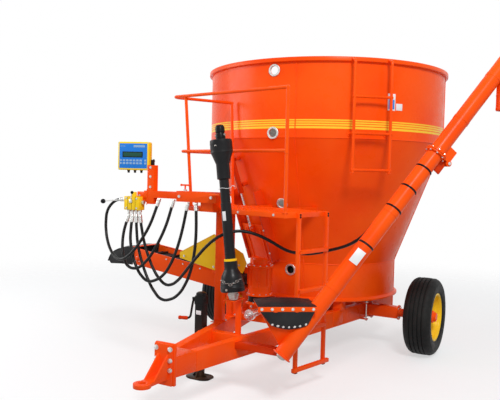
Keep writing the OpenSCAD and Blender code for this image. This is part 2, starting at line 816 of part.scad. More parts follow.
// Hoses: outer radius, then the points of each route.
hose_r = 13;
hoses = [
    [[-934, -1930, 1346], [-880, -1935, 1120], [-760, -1945, 880], [-620, -1955, 765], [-480, -1980, 815],
     [-335, -2010, 960], [-180, -2005, 1130], [-60, -1960, 1230], [60, -1870, 1265], [180, -1790, 1235],
     [290, -1725, 1175], [385, -1630, 1105], [515, -1510, 1080], [670, -1435, 1115],
     [830, -1445, 1170], [970, -1490, 1255], [1075, -1545, 1365], [1170, -1500, 1485],
     [1240, -1430, 1600], [1315, -1350, 1730], [1390, -1275, 1865]],
    [[-976, -1930, 1346], [-930, -1955, 1080], [-800, -1975, 800], [-640, -1985, 640], [-470, -1975, 700],
     [-360, -1965, 900], [-320, -1955, 1150], [-325, -1945, 1370], [-340, -1930, 1480]],
    [[-1018, -1930, 1346], [-995, -1980, 1120], [-900, -2010, 900], [-760, -2022, 790], [-600, -2015, 860],
     [-500, -1995, 1040], [-450, -1960, 1260], [-420, -1935, 1480]],
    [[-1060, -1930, 1346], [-1088, -1965, 1180], [-1060, -2005, 1010], [-965, -2045, 905], [-840, -2045, 905],
     [-720, -2015, 1040], [-620, -1970, 1270], [-570, -1930, 1500]],
    [[-1091, -1930, 1480], [-1205, -1938, 1465], [-1280, -1965, 1370], [-1275, -1985, 1190],
     [-1180, -2030, 1030], [-1030, -2075, 960], [-880, -2075, 1050], [-770, -2000, 1270], [-720, -1935, 1500]]];

// A round hose swept along its points, and points halfway between them, with 8 sides.
function unit(v) = v / norm(v);
function heading(path, i) = unit(path[min(i + 1, len(path) - 1)] - path[max(i - 1, 0)]);
function hose_ring(p, d, r) =
    let (side = unit(cross(d, abs(d.y) > 0.9 ? [1, 0, 0] : [0, 1, 0])), up = cross(side, d))
    [for (k = [0:7]) p + r * (cos(45 * k) * side + sin(45 * k) * up)];
function midway(q, i, last) =
    (9 * (q[i] + q[i + 1]) - (i > 0 ? q[i - 1] : 2 * q[0] - q[1])
        - (i + 2 <= last ? q[i + 2] : 2 * q[last] - q[last - 1])) / 16;
function rounded(q) = [for (i = [0:len(q) - 1]) each i < len(q) - 1 ? [q[i], midway(q, i, len(q) - 1)] : [q[i]]];
module hose(route) {
    path = rounded(route);
    n = len(path);
    points = [for (i = [0:n - 1]) each hose_ring(path[i], heading(path, i), hose_r)];
    sides = [for (i = [0:n - 2]) for (k = [0:7])
        [8 * i + k, 8 * i + 8 + k, 8 * i + 8 + (k + 1) % 8, 8 * i + (k + 1) % 8]];
    color(black) polyhedron(points, concat([[for (k = [0:7]) k]], sides,
        [[for (k = [7:-1:0]) 8 * (n - 1) + k]]), convexity = 10);
}

translate(frame_shift) {
    drawbar_beam(1);  // drawbar_beam_left
    drawbar_beam(-1);  // drawbar_beam_right
    cross_members();
    hitch_plate();
    axle_beam();
    for (side = [1, -1]) {
        name = side > 0 ? "left" : "right";
        tyre(side);
        wheel(side);
        hub(side);
    }
    for (k = [1:4]) {
        tub_ring(k);
        tub_cone(k);
    }
    tub_base();
    tub_rim();
    sight_rings();
    gearbox();
    mixing_auger();
    door_frame();
    discharge_door();
    drive_gearbox();
    input_shaft();
    conveyor();
    conveyor_belt();
    conveyor_flap();
    guard_sheet();
    deck();
    guard_rails();
    lower_ladder();
    upper_ladder();
    posts();
    jack();
    arm();
    monitor();
    valve();
    pto_shaft();
    hopper();
    hopper_cover();
    tube_lower();
    tube_upper();
    spout();
    tube_brackets();
    for (k = [1:len(hoses)])
        hose(hoses[k - 1]);
}
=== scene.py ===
"""Finish and fittings of a towed vertical feed mixer wagon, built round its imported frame.

Places are written in metres from the tub's axis on the ground: forward is -Y and the left side is +X.
"""

import math

import bmesh
import bpy
from mathutils import Matrix, Vector


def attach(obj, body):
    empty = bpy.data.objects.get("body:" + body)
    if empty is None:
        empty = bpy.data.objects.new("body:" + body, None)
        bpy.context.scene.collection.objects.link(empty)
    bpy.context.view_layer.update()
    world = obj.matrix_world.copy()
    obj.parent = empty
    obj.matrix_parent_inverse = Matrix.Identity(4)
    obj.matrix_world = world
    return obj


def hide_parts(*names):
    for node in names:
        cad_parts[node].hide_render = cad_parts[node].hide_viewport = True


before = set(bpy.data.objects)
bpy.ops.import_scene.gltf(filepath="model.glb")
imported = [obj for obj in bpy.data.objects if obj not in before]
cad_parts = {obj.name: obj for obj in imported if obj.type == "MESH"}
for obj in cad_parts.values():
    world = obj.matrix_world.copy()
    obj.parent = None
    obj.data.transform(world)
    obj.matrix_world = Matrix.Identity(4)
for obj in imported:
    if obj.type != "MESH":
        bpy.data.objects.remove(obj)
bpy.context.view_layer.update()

SHIFT = Vector((-0.11635, 0.9245, 0.0))
STRAIGHT = Matrix.Identity(4)

TUB_R = 1.215
LOW_R = 0.770
RIM_Z = 2.782
RING_TOP_Z = 2.742
CONE_TOP_Z = 2.070
CONE_LOW_Z = 0.880
FLOOR_Z = 0.520
WALL = 0.008
CONE_SLOPE = math.degrees(math.atan((TUB_R - LOW_R) / (CONE_TOP_Z - CONE_LOW_Z)))
SEAM_ANGLES = (-80, 10, 100, 190)
WHEEL_X = 1.144
AXLE_Y = -0.068
TYRE_R = 0.376
NOSE_Y = -2.700
BEAM_LOW_Z = 0.290
BEAM_TOP_Z = 0.440
DECK_Z = 1.440


def placed(at, x=0.0, y=0.0, z=0.0):
    """A frame at a point, turned about x, then y, then z, in degrees."""
    turn_x = Matrix.Rotation(math.radians(x), 4, "X")
    turn_y = Matrix.Rotation(math.radians(y), 4, "Y")
    turn_z = Matrix.Rotation(math.radians(z), 4, "Z")
    return Matrix.Translation(at) @ turn_z @ turn_y @ turn_x


def facing(at, direction):
    """A frame at a point whose z axis looks along a direction."""
    turn = Vector((0.0, 0.0, 1.0)).rotation_difference(Vector(direction)).to_matrix().to_4x4()
    return Matrix.Translation(at) @ turn


def beam_x(y):
    """Half spread of the drawbar beams at y."""
    return 0.057 + (0.533 - 0.057) * (y - NOSE_Y) / -NOSE_Y


DECK = placed((0.527, -1.989, 0.0), z=-13) @ Matrix.Diagonal((-1.0, 1.0, 1.0, 1.0))
TUBE = placed((0.650, -2.155, 0.450), y=39, z=46)
HOPPER = placed((0.590, -2.100, 0.520), z=36)
CONVEYOR = placed((-0.290, -1.150, 0.640), y=7.6574) @ Matrix.Rotation(math.pi, 4, "Z")
CONVEYOR_L = 1.2007
DOOR = (Matrix.Rotation(math.radians(-113), 4, "Z") @ Matrix.Translation((LOW_R, 0.0, CONE_LOW_Z))
        @ Matrix.Rotation(math.radians(CONE_SLOPE), 4, "Y") @ Matrix.Rotation(math.radians(-90), 4, "Z"))
PTO_LOW = Vector((0.100, -2.030, 0.800))
PTO_TOP = Vector((-0.048, -2.030, 2.018))
PTO_L = (PTO_TOP - PTO_LOW).length
PTO = facing(PTO_LOW, PTO_TOP - PTO_LOW)
MONITOR = placed((-1.000, -1.930, 1.868), z=18)
VALVE = placed((-1.000, -1.930, 1.450))
LADDER = Matrix.Rotation(math.radians(-49), 4, "Z")
JACK = placed((-beam_x(-1.900) - 0.035 - 0.052, -1.900, 0.0))


# Camera, lamps and floor

def set_camera():
    lens = bpy.data.cameras.new("photo_camera")
    lens.lens = 46.08
    lens.sensor_width = 36.0
    lens.clip_end = 200.0
    camera = bpy.data.objects.new("photo_camera", lens)
    bpy.context.scene.collection.objects.link(camera)
    swing = 0.511
    dip = math.radians(2.415)
    ahead = Vector((-math.sin(swing) * math.cos(dip), math.cos(swing) * math.cos(dip), -math.sin(dip)))
    turn = ahead.to_track_quat("-Z", "Y").to_matrix().to_4x4()
    at = Vector((2.680, -6.390, 1.742)) + SHIFT
    camera.matrix_world = Matrix.Translation(at) @ turn @ Matrix.Rotation(0.024, 4, "Z")
    bpy.context.scene.camera = camera


def soft_lamp(name, at, aim, size, watts):
    lamp = bpy.data.lights.new(name, "AREA")
    lamp.shape = "DISK"
    lamp.size = size
    lamp.energy = watts
    holder = bpy.data.objects.new(name, lamp)
    bpy.context.scene.collection.objects.link(holder)
    at = Vector(at) + SHIFT
    holder.location = at
    holder.rotation_mode = "QUATERNION"
    holder.rotation_quaternion = (Vector(aim) + SHIFT - at).to_track_quat("-Z", "Y")


def straight_look(tree):
    """1 for what the camera sees, also by way of metal or glass, and 0 for the light that falls on the machine."""
    path = tree.nodes.new("ShaderNodeLightPath")
    glossy = tree.nodes.new("ShaderNodeMath")
    glossy.operation = "MAXIMUM"
    tree.links.new(path.outputs["Is Camera Ray"], glossy.inputs[0])
    tree.links.new(path.outputs["Is Glossy Ray"], glossy.inputs[1])
    clear = tree.nodes.new("ShaderNodeMath")
    clear.operation = "MAXIMUM"
    tree.links.new(glossy.outputs[0], clear.inputs[0])
    tree.links.new(path.outputs["Is Transmission Ray"], clear.inputs[1])
    return clear.outputs[0]


def set_studio():
    soft_lamp("key_lamp", (4.6, -6.6, 7.2), (0.0, -0.6, 1.2), 2.2, 470)
    soft_lamp("side_lamp", (-6.5, -3.5, 3.6), (0.0, -0.6, 1.2), 4.0, 190)
    world = bpy.data.worlds.new("studio")
    world.use_nodes = True
    tree = world.node_tree
    tree.nodes.clear()
    seen = straight_look(tree)
    room = tree.nodes.new("ShaderNodeBackground")
    room.inputs["Color"].default_value = (1.0, 1.0, 1.0, 1.0)
    room.inputs["Strength"].default_value = 0.52
    backdrop = tree.nodes.new("ShaderNodeBackground")
    backdrop.inputs["Color"].default_value = (1.0, 1.0, 1.0, 1.0)
    backdrop.inputs["Strength"].default_value = 1.0
    mix = tree.nodes.new("ShaderNodeMixShader")
    tree.links.new(seen, mix.inputs[0])
    tree.links.new(room.outputs[0], mix.inputs[1])
    tree.links.new(backdrop.outputs[0], mix.inputs[2])
    out = tree.nodes.new("ShaderNodeOutputWorld")
    tree.links.new(mix.outputs[0], out.inputs["Surface"])
    bpy.context.scene.world = world
    bpy.context.scene.view_settings.view_transform = "Standard"


def lay_floor():
    """A pale floor that fades into the white backdrop away from the machine."""
    bm = bmesh.new()
    bmesh.ops.create_circle(bm, cap_ends=True, cap_tris=False, segments=96, radius=14.0)
    bmesh.ops.translate(bm, verts=bm.verts, vec=(0.0, 0.0, -0.002))
    mesh = bpy.data.meshes.new("studio_floor")
    bm.to_mesh(mesh)
    bm.free()
    floor = bpy.data.objects.new("studio_floor", mesh)
    bpy.context.scene.collection.objects.link(floor)
    pale = bpy.data.materials.new("studio_floor")
    pale.use_nodes = True
    tree = pale.node_tree
    tree.nodes.clear()
    where = tree.nodes.new("ShaderNodeTexCoord")
    reach = tree.nodes.new("ShaderNodeVectorMath")
    reach.operation = "LENGTH"
    tree.links.new(where.outputs["Object"], reach.inputs[0])
    fade = tree.nodes.new("ShaderNodeMapRange")
    fade.interpolation_type = "SMOOTHSTEP"
    fade.inputs["From Min"].default_value = 3.4
    fade.inputs["From Max"].default_value = 8.0
    tree.links.new(reach.outputs["Value"], fade.inputs["Value"])
    matt = tree.nodes.new("ShaderNodeBsdfPrincipled")
    matt.inputs["Base Color"].default_value = (0.40, 0.41, 0.42, 1.0)
    matt.inputs["Emission Color"].default_value = (1.0, 1.0, 1.0, 1.0)
    lift = tree.nodes.new("ShaderNodeMath")
    lift.operation = "MULTIPLY"
    lift.inputs[1].default_value = 0.56
    tree.links.new(straight_look(tree), lift.inputs[0])
    tree.links.new(lift.outputs[0], matt.inputs["Emission Strength"])
    matt.inputs["Roughness"].default_value = 0.85
    matt.inputs["Specular IOR Level"].default_value = 0.1
    clear = tree.nodes.new("ShaderNodeBsdfTransparent")
    mix = tree.nodes.new("ShaderNodeMixShader")
    tree.links.new(fade.outputs["Result"], mix.inputs[0])
    tree.links.new(matt.outputs[0], mix.inputs[1])
    tree.links.new(clear.outputs[0], mix.inputs[2])
    out = tree.nodes.new("ShaderNodeOutputMaterial")
    tree.links.new(mix.outputs[0], out.inputs["Surface"])
    mesh.materials.append(pale)


set_camera()
set_studio()
lay_floor()


# Finishes

def new_finish(name):
    finish = bpy.data.materials.new(name)
    finish.use_nodes = True
    tree = finish.node_tree
    return finish, tree, tree.nodes["Principled BSDF"]


def speckle(tree, scale, detail=4.0, stretch=(1.0, 1.0, 1.0)):
    """Noise on object coordinates, stretched along the axes."""
    where = tree.nodes.new("ShaderNodeTexCoord")
    mapping = tree.nodes.new("ShaderNodeMapping")
    mapping.inputs["Scale"].default_value = stretch
    noise = tree.nodes.new("ShaderNodeTexNoise")
    noise.inputs["Scale"].default_value = scale
    noise.inputs["Detail"].default_value = detail
    tree.links.new(where.outputs["Object"], mapping.inputs["Vector"])
    tree.links.new(mapping.outputs["Vector"], noise.inputs["Vector"])
    return noise.outputs["Fac"]


def blended(tree, share, first, second):
    """A colour mix; first and second are colours or sockets."""
    mix = tree.nodes.new("ShaderNodeMix")
    mix.data_type = "RGBA"
    tree.links.new(share, mix.inputs["Factor"])
    for key, value in (("A", first), ("B", second)):
        socket = [s for s in mix.inputs if s.name == key and s.type == "RGBA"][0]
        if hasattr(value, "is_linked"):
            tree.links.new(value, socket)
        else:
            socket.default_value = (*value, 1.0)
    return [s for s in mix.outputs if s.type == "RGBA"][0]


def ranged(tree, value, low, high, to_low=0.0, to_high=1.0):
    ramp = tree.nodes.new("ShaderNodeMapRange")
    ramp.inputs["From Min"].default_value = low
    ramp.inputs["From Max"].default_value = high
    ramp.inputs["To Min"].default_value = to_low
    ramp.inputs["To Max"].default_value = to_high
    tree.links.new(value, ramp.inputs["Value"])
    return ramp.outputs["Result"]


def bumped(tree, shader, height, strength, distance):
    bump = tree.nodes.new("ShaderNodeBump")
    bump.inputs["Strength"].default_value = strength
    bump.inputs["Distance"].default_value = distance
    tree.links.new(height, bump.inputs["Height"])
    tree.links.new(bump.outputs["Normal"], shader.inputs["Normal"])


def height_socket(tree):
    where = tree.nodes.new("ShaderNodeTexCoord")
    apart = tree.nodes.new("ShaderNodeSeparateXYZ")
    tree.links.new(where.outputs["Object"], apart.inputs["Vector"])
    return apart.outputs["Z"]


def product(tree, first, second):
    times = tree.nodes.new("ShaderNodeMath")
    times.operation = "MULTIPLY"
    tree.links.new(first, times.inputs[0])
    tree.links.new(second, times.inputs[1])
    return times.outputs[0]


def enamel(name, colour, deeper, gloss=0.30, bands=()):
    """Sprayed enamel: cloudy film, orange peel, a little road dust low down, and painted bands by height."""
    finish, tree, shader = new_finish(name)
    cloud = ranged(tree, speckle(tree, 1.7, 3.0), 0.38, 0.66)
    base = blended(tree, cloud, colour, deeper)
    level = height_socket(tree)
    if bands:
        low, high = bands[0][0] - 0.02, bands[-1][1] + 0.02
        share = ranged(tree, level, low, high)
        ramp = tree.nodes.new("ShaderNodeValToRGB")
        ramp.color_ramp.interpolation = "CONSTANT"
        stops = [(0.0, 0.0)]
        for start, stop in bands:
            stops += [((start - low) / (high - low), 1.0), ((stop - low) / (high - low), 0.0)]
        while len(ramp.color_ramp.elements) < len(stops):
            ramp.color_ramp.elements.new(0.99)
        for element, (at, tone) in zip(ramp.color_ramp.elements, stops):
            element.position = at
            element.color = (tone, tone, tone, 1.0)
        tree.links.new(share, ramp.inputs["Fac"])
        base = blended(tree, ramp.outputs["Color"], base, (0.98, 0.62, 0.04))
    dust = product(tree, ranged(tree, level, 0.62, 0.12, 0.0, 0.14), ranged(tree, speckle(tree, 7.0, 6.0), 0.4, 0.7))
    base = blended(tree, dust, base, (0.50, 0.24, 0.11))
    tree.links.new(base, shader.inputs["Base Color"])
    sheen = ranged(tree, speckle(tree, 11.0, 5.0), 0.3, 0.75, gloss - 0.06, gloss + 0.12)
    tree.links.new(sheen, shader.inputs["Roughness"])
    shader.inputs["Specular IOR Level"].default_value = 0.10
    shader.inputs["Coat Weight"].default_value = 0.02
    shader.inputs["Coat Roughness"].default_value = 0.14
    bumped(tree, shader, speckle(tree, 320.0, 2.0), 0.08, 0.001)
    return finish


def metal(name, colour, darker, rough, scale=60.0, stretch=(1.0, 1.0, 1.0), rust=0.0):
    finish, tree, shader = new_finish(name)
    base = blended(tree, ranged(tree, speckle(tree, scale, 6.0, stretch), 0.35, 0.68), colour, darker)
    if rust:
        spots = ranged(tree, speckle(tree, 9.0, 8.0), 0.52, 0.7, 0.0, rust)
        base = blended(tree, spots, base, (0.24, 0.09, 0.035))
    tree.links.new(base, shader.inputs["Base Color"])
    shader.inputs["Metallic"].default_value = 0.9
    grain = speckle(tree, scale * 3.0, 3.0, stretch)
    tree.links.new(ranged(tree, grain, 0.3, 0.7, rough - 0.08, rough + 0.14), shader.inputs["Roughness"])
    bumped(tree, shader, grain, 0.12, 0.001)
    return finish


def moulded(name, colour, paler, rough, grain=240.0, depth=0.18):
    """Rubber or plastic with a fine moulded grain and a dusty bloom."""
    finish, tree, shader = new_finish(name)
    bloom = ranged(tree, speckle(tree, 5.0, 6.0), 0.42, 0.75)
    tree.links.new(blended(tree, bloom, colour, paler), shader.inputs["Base Color"])
    tree.links.new(ranged(tree, speckle(tree, 24.0, 4.0), 0.3, 0.7, rough - 0.07, rough + 0.1), shader.inputs["Roughness"])
    bumped(tree, shader, speckle(tree, grain, 3.0), depth, 0.001)
    shader.inputs["Specular IOR Level"].default_value = 0.20
    return finish


ORANGE = (1.0, 0.100, 0.004)
ORANGE_DEEP = (0.93, 0.068, 0.002)
# The next two tones are the orange paint darkened: painted shade for parts that lie in shadow under and beside the tub.
PAINTED_SHADE_ORANGE = (0.74, 0.048, 0.003)
PAINTED_SHADE_DEEP = (0.56, 0.030, 0.002)
YELLOW = (1.0, 0.66, 0.02)
YELLOW_DEEP = (0.93, 0.55, 0.015)
STRIPES = ((2.151, 2.171), (2.178, 2.193), (2.200, 2.213), (2.220, 2.232))

orange_paint = enamel("orange_paint", ORANGE, ORANGE_DEEP)
tub_paint = enamel("tub_paint", ORANGE, ORANGE_DEEP, 0.27, STRIPES)
# A darker copy of the orange enamel, painted shade. It is used on the gearbox under the tub, the door guides, the auger
# brackets and the jack's handle grip.
painted_shade_orange = enamel("painted_shade_orange", PAINTED_SHADE_ORANGE, PAINTED_SHADE_DEEP, 0.36)
yellow_paint = enamel("yellow_paint", YELLOW, YELLOW_DEEP, 0.30)
black_paint = enamel("black_paint", (0.006, 0.006, 0.007), (0.012, 0.012, 0.011), 0.34)
zinc = metal("zinc_plate", (0.72, 0.72, 0.70), (0.52, 0.52, 0.50), 0.34)
bright_steel = metal("bright_steel", (0.80, 0.80, 0.80), (0.62, 0.62, 0.63), 0.22, 40.0)
worn_steel = metal("worn_steel", (0.46, 0.43, 0.40), (0.30, 0.27, 0.25), 0.40, 26.0, (1.0, 1.0, 5.0), 0.55)
tyre_rubber = moulded("tyre_rubber", (0.004, 0.004, 0.004), (0.012, 0.012, 0.011), 0.62, 160.0, 0.25)
hose_rubber = moulded("hose_rubber", (0.005, 0.005, 0.005), (0.013, 0.013, 0.013), 0.36, 420.0, 0.15)
sheet_rubber = moulded("sheet_rubber", (0.009, 0.009, 0.010), (0.022, 0.023, 0.024), 0.50, 180.0, 0.3)
guard_plastic = moulded("guard_plastic", (0.004, 0.004, 0.005), (0.010, 0.010, 0.011), 0.33, 300.0, 0.12)
case_plastic = moulded("case_plastic", (1.0, 0.72, 0.03), (0.95, 0.64, 0.02), 0.38, 300.0, 0.08)
blue_panel = moulded("blue_panel", (0.020, 0.22, 0.74), (0.016, 0.19, 0.68), 0.30, 300.0, 0.04)
pale_keys = moulded("pale_keys", (0.30, 0.48, 0.72), (0.26, 0.42, 0.66), 0.42, 300.0, 0.06)
screen_glass = moulded("screen_glass", (0.012, 0.075, 0.050), (0.016, 0.095, 0.060), 0.12, 200.0, 0.02)
white_plate = moulded("white_plate", (0.84, 0.85, 0.86), (0.76, 0.77, 0.78), 0.36, 260.0, 0.05)
blue_plate = moulded("blue_plate", (0.06, 0.26, 0.74), (0.05, 0.22, 0.66), 0.36, 260.0, 0.05)


# Mesh making

def joined(bm, part, at=STRAIGHT, tint=0):
    """Adds a finished part to a piece, at its place and with its finish."""
    part.transform(at)
    if at.determinant() < 0.0:
        bmesh.ops.reverse_faces(part, faces=part.faces)
    for face in part.faces:
        face.material_index = tint
    scratch = bpy.data.meshes.new("scratch")
    part.to_mesh(scratch)
    part.free()
    bm.from_mesh(scratch)
    bpy.data.meshes.remove(scratch)


def soften(part, edges, width, steps=2):
    bmesh.ops.bevel(part, geom=list(edges), offset=width, offset_type="OFFSET", segments=steps,
                    profile=0.5, affect="EDGES", clamp_overlap=True, material=-1)


def add_block(bm, middle, size, edge=0.003, at=STRAIGHT, tint=0, steps=2):
    part = bmesh.new()
    bmesh.ops.create_cube(part, size=1.0)
    bmesh.ops.scale(part, verts=part.verts, vec=size)
    if edge:
        soften(part, part.edges, edge, steps)
    bmesh.ops.translate(part, verts=part.verts, vec=middle)
    joined(bm, part, at, tint)


def add_rod(bm, start, end, radius, at=STRAIGHT, tint=0, sides=24, edge=0.0, end_radius=None):
    start, end = Vector(start), Vector(end)
    part = bmesh.new()
    bmesh.ops.create_cone(part, cap_ends=True, cap_tris=False, segments=sides, radius1=radius,
                          radius2=radius if end_radius is None else end_radius, depth=(end - start).length)
    if edge:
        caps = [f for f in part.faces if abs(f.normal.z) > 0.99]
        soften(part, {e for f in caps for e in f.edges}, edge)
    joined(bm, part, at @ facing((start + end) / 2, end - start), tint)


def add_turned(bm, outline, at=STRAIGHT, tint=0, sides=64, closed=False, thick=0.0):
    """A shape turned about z from (radius, height) corners."""
    part = bmesh.new()
    corners = [part.verts.new((radius, 0.0, height)) for radius, height in outline]
    lines = [part.edges.new(pair) for pair in zip(corners, corners[1:])]
    if closed:
        lines.append(part.edges.new((corners[-1], corners[0])))
    bmesh.ops.spin(part, geom=corners + lines, cent=(0.0, 0.0, 0.0), axis=(0.0, 0.0, 1.0),
                   dvec=(0.0, 0.0, 0.0), angle=math.tau, steps=sides, use_merge=True)
    bmesh.ops.remove_doubles(part, verts=part.verts, dist=0.00002)
    bmesh.ops.dissolve_degenerate(part, edges=part.edges, dist=0.00001)
    bmesh.ops.recalc_face_normals(part, faces=part.faces)
    if thick:
        bmesh.ops.solidify(part, geom=part.faces[:], thickness=thick)
    joined(bm, part, at, tint)


def add_plate(bm, outline, thick, at=STRAIGHT, tint=0, edge=0.0015):
    """A plate cut to an outline in the local xy plane."""
    part = bmesh.new()
    face = part.faces.new([part.verts.new((x, y, 0.0)) for x, y in outline])
    made = bmesh.ops.extrude_face_region(part, geom=[face])["geom"]
    bmesh.ops.translate(part, verts=[v for v in made if isinstance(v, bmesh.types.BMVert)], vec=(0.0, 0.0, thick))
    bmesh.ops.recalc_face_normals(part, faces=part.faces)
    if edge:
        soften(part, part.edges, edge)
    joined(bm, part, at, tint)


def add_bolt(bm, at_point, normal, size=0.010, at=STRAIGHT, tint=0):
    """A hexagon head on its washer."""
    place = at @ facing(at_point, normal)
    washer = bmesh.new()
    bmesh.ops.create_cone(washer, cap_ends=True, cap_tris=False, segments=16, radius1=size * 1.35,
                          radius2=size * 1.3, depth=size * 0.25)
    joined(bm, washer, place @ Matrix.Translation((0.0, 0.0, size * 0.1)), tint)
    head = bmesh.new()
    bmesh.ops.create_cone(head, cap_ends=True, cap_tris=False, segments=6, radius1=size, radius2=size, depth=size * 0.8)
    caps = [f for f in head.faces if f.normal.z > 0.9]
    soften(head, {e for f in caps for e in f.edges}, size * 0.12, 1)
    joined(bm, head, place @ Matrix.Translation((0.0, 0.0, size * 0.6)), tint)


def bolt_circle(bm, count, radius, height, size, at=STRAIGHT, tint=0, first=0.0, up=1.0):
    for k in range(count):
        turn = math.radians(first) + math.tau * k / count
        add_bolt(bm, (radius * math.cos(turn), radius * math.sin(turn), height), (0.0, 0.0, up), size, at, tint)


def eased(points, reach, steps=6):
    """A path with each corner turned into a short arc."""
    points = [Vector(p) for p in points]
    path = [points[0]]
    for before, corner, after in zip(points, points[1:], points[2:]):
        start = corner + (before - corner).normalized() * min(reach, (before - corner).length * 0.48)
        stop = corner + (after - corner).normalized() * min(reach, (after - corner).length * 0.48)
        for k in range(steps + 1):
            t = k / steps
            path.append(start * (1 - t) ** 2 + corner * 2 * t * (1 - t) + stop * t ** 2)
    return path + [points[-1]]


def add_bar(bm, points, radius, at=STRAIGHT, tint=0, reach=0.0, fine=3):
    """A round bar bent along points."""
    path = eased(points, reach) if reach else [Vector(p) for p in points]
    line = bpy.data.curves.new("scratch", "CURVE")
    line.dimensions = "3D"
    line.bevel_depth = radius
    line.bevel_resolution = fine
    line.use_fill_caps = True
    spline = line.splines.new("POLY")
    spline.points.add(len(path) - 1)
    for point, place in zip(spline.points, path):
        point.co = (*place, 1.0)
    holder = bpy.data.objects.new("scratch", line)
    mesh = bpy.data.meshes.new_from_object(holder)
    part = bmesh.new()
    part.from_mesh(mesh)
    bmesh.ops.remove_doubles(part, verts=part.verts, dist=0.00002)
    bmesh.ops.recalc_face_normals(part, faces=part.faces)
    bpy.data.objects.remove(holder)
    bpy.data.curves.remove(line)
    bpy.data.meshes.remove(mesh)
    joined(bm, part, at, tint)


def shown(name, bm, finishes, body="wagon", stands_for=(), slot=None, smooth=32, shift=True):
    """Makes a piece of the machine from a bmesh that is written from the tub's axis."""
    if shift:
        bmesh.ops.translate(bm, verts=bm.verts, vec=SHIFT)
    mesh = bpy.data.meshes.new(name)
    bm.to_mesh(mesh)
    bm.free()
    for finish in finishes:
        mesh.materials.append(finish)
    for polygon in mesh.polygons:
        polygon.use_smooth = True
    mesh.set_sharp_from_angle(angle=math.radians(smooth))
    piece = bpy.data.objects.new(name, mesh)
    bpy.context.scene.collection.objects.link(piece)
    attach(piece, body)
    if stands_for:
        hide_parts(*stands_for)
    return piece


def from_frame(node, edge=0.003, steps=2, angle=40):
    """A merged copy of a frame node's mesh with its hard edges rounded."""
    part = bmesh.new()
    part.from_mesh(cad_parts[node].data)
    bmesh.ops.remove_doubles(part, verts=part.verts, dist=0.00003)
    bmesh.ops.dissolve_limit(part, angle_limit=math.radians(0.8), use_dissolve_boundaries=False,
                             verts=part.verts, edges=part.edges, delimit=set())
    hard = [e for e in part.edges if e.is_manifold and e.calc_face_angle(0.0) > math.radians(angle)]
    if edge and hard:
        bmesh.ops.bevel(part, geom=hard, offset=edge, offset_type="OFFSET", segments=steps, profile=0.5,
                        affect="EDGES", clamp_overlap=True, loop_slide=True, material=-1)
    bmesh.ops.translate(part, verts=part.verts, vec=-SHIFT)
    return part


def without(bm, cutters):
    """The piece less the cutters, as a new bmesh."""
    def held(part, name):
        mesh = bpy.data.meshes.new(name)
        part.to_mesh(mesh)
        part.free()
        holder = bpy.data.objects.new(name, mesh)
        bpy.context.scene.collection.objects.link(holder)
        return holder

    body = held(bm, "scratch_body")
    tools = [held(c, "scratch_tool") for c in cutters]
    for tool in tools:
        cut = body.modifiers.new("cut", "BOOLEAN")
        cut.operation = "DIFFERENCE"
        cut.solver = "EXACT"
        cut.object = tool
    bpy.context.view_layer.update()
    made = bpy.data.meshes.new_from_object(body.evaluated_get(bpy.context.evaluated_depsgraph_get()))
    result = bmesh.new()
    result.from_mesh(made)
    for holder in [body, *tools]:
        mesh = holder.data
        bpy.data.objects.remove(holder)
        bpy.data.meshes.remove(mesh)
    bpy.data.meshes.remove(made)
    return result


def wall_r(z):
    if z >= CONE_TOP_Z:
        return TUB_R
    if z <= CONE_LOW_Z:
        return LOW_R
    return LOW_R + (TUB_R - LOW_R) * (z - CONE_LOW_Z) / (CONE_TOP_Z - CONE_LOW_Z)


# Hydraulic hoses

HOSE_R = 0.013
ROUTES = [
    [(-934, -1930, 1346), (-880, -1935, 1120), (-760, -1945, 880), (-620, -1955, 765), (-480, -1980, 815),
     (-335, -2010, 960), (-180, -2005, 1130), (-60, -1960, 1230), (60, -1870, 1265), (180, -1790, 1235),
     (290, -1725, 1175), (385, -1630, 1105), (515, -1510, 1080), (670, -1435, 1115), (830, -1445, 1170),
     (970, -1490, 1255), (1075, -1545, 1365), (1170, -1500, 1485), (1240, -1430, 1600), (1315, -1350, 1730),
     (1390, -1275, 1865)],
    [(-976, -1930, 1346), (-930, -1955, 1080), (-800, -1975, 800), (-640, -1985, 640), (-470, -1975, 700),
     (-360, -1965, 900), (-320, -1955, 1150), (-325, -1945, 1370), (-340, -1930, 1480)],
    [(-1018, -1930, 1346), (-995, -1980, 1120), (-900, -2010, 900), (-760, -2022, 790), (-600, -2015, 860),
     (-500, -1995, 1040), (-450, -1960, 1260), (-420, -1935, 1480)],
    [(-1060, -1930, 1346), (-1088, -1965, 1180), (-1060, -2005, 1010), (-965, -2045, 905),
     (-840, -2045, 905), (-720, -2015, 1040), (-620, -1970, 1270), (-570, -1930, 1500)],
    [(-1091, -1930, 1480), (-1205, -1938, 1465), (-1280, -1965, 1370), (-1275, -1985, 1190),
     (-1180, -2030, 1030), (-1030, -2075, 960), (-880, -2075, 1050), (-770, -2000, 1270),
     (-720, -1935, 1500)],
]


def rounded_route(route):
    """The route's points in metres, with the points halfway between them."""
    q = [Vector(p) / 1000.0 for p in route]
    path = []
    for k in range(len(q) - 1):
        before = q[k - 1] if k else 2 * q[0] - q[1]
        after = q[k + 2] if k + 2 < len(q) else 2 * q[-1] - q[-2]
        path += [q[k], (9 * (q[k] + q[k + 1]) - before - after) / 16]
    return path + [q[-1]]


def route_length(path):
    """Length of the smooth curve through the points."""
    fine = path
    for _ in range(2):
        longer = []
        for k in range(len(fine) - 1):
            before = fine[k - 1] if k else 2 * fine[0] - fine[1]
            after = fine[k + 2] if k + 2 < len(fine) else 2 * fine[-1] - fine[-2]
            longer += [fine[k], (9 * (fine[k] + fine[k + 1]) - before - after) / 16]
        fine = longer + [fine[-1]]
    return sum((b - a).length for a, b in zip(fine, fine[1:]))


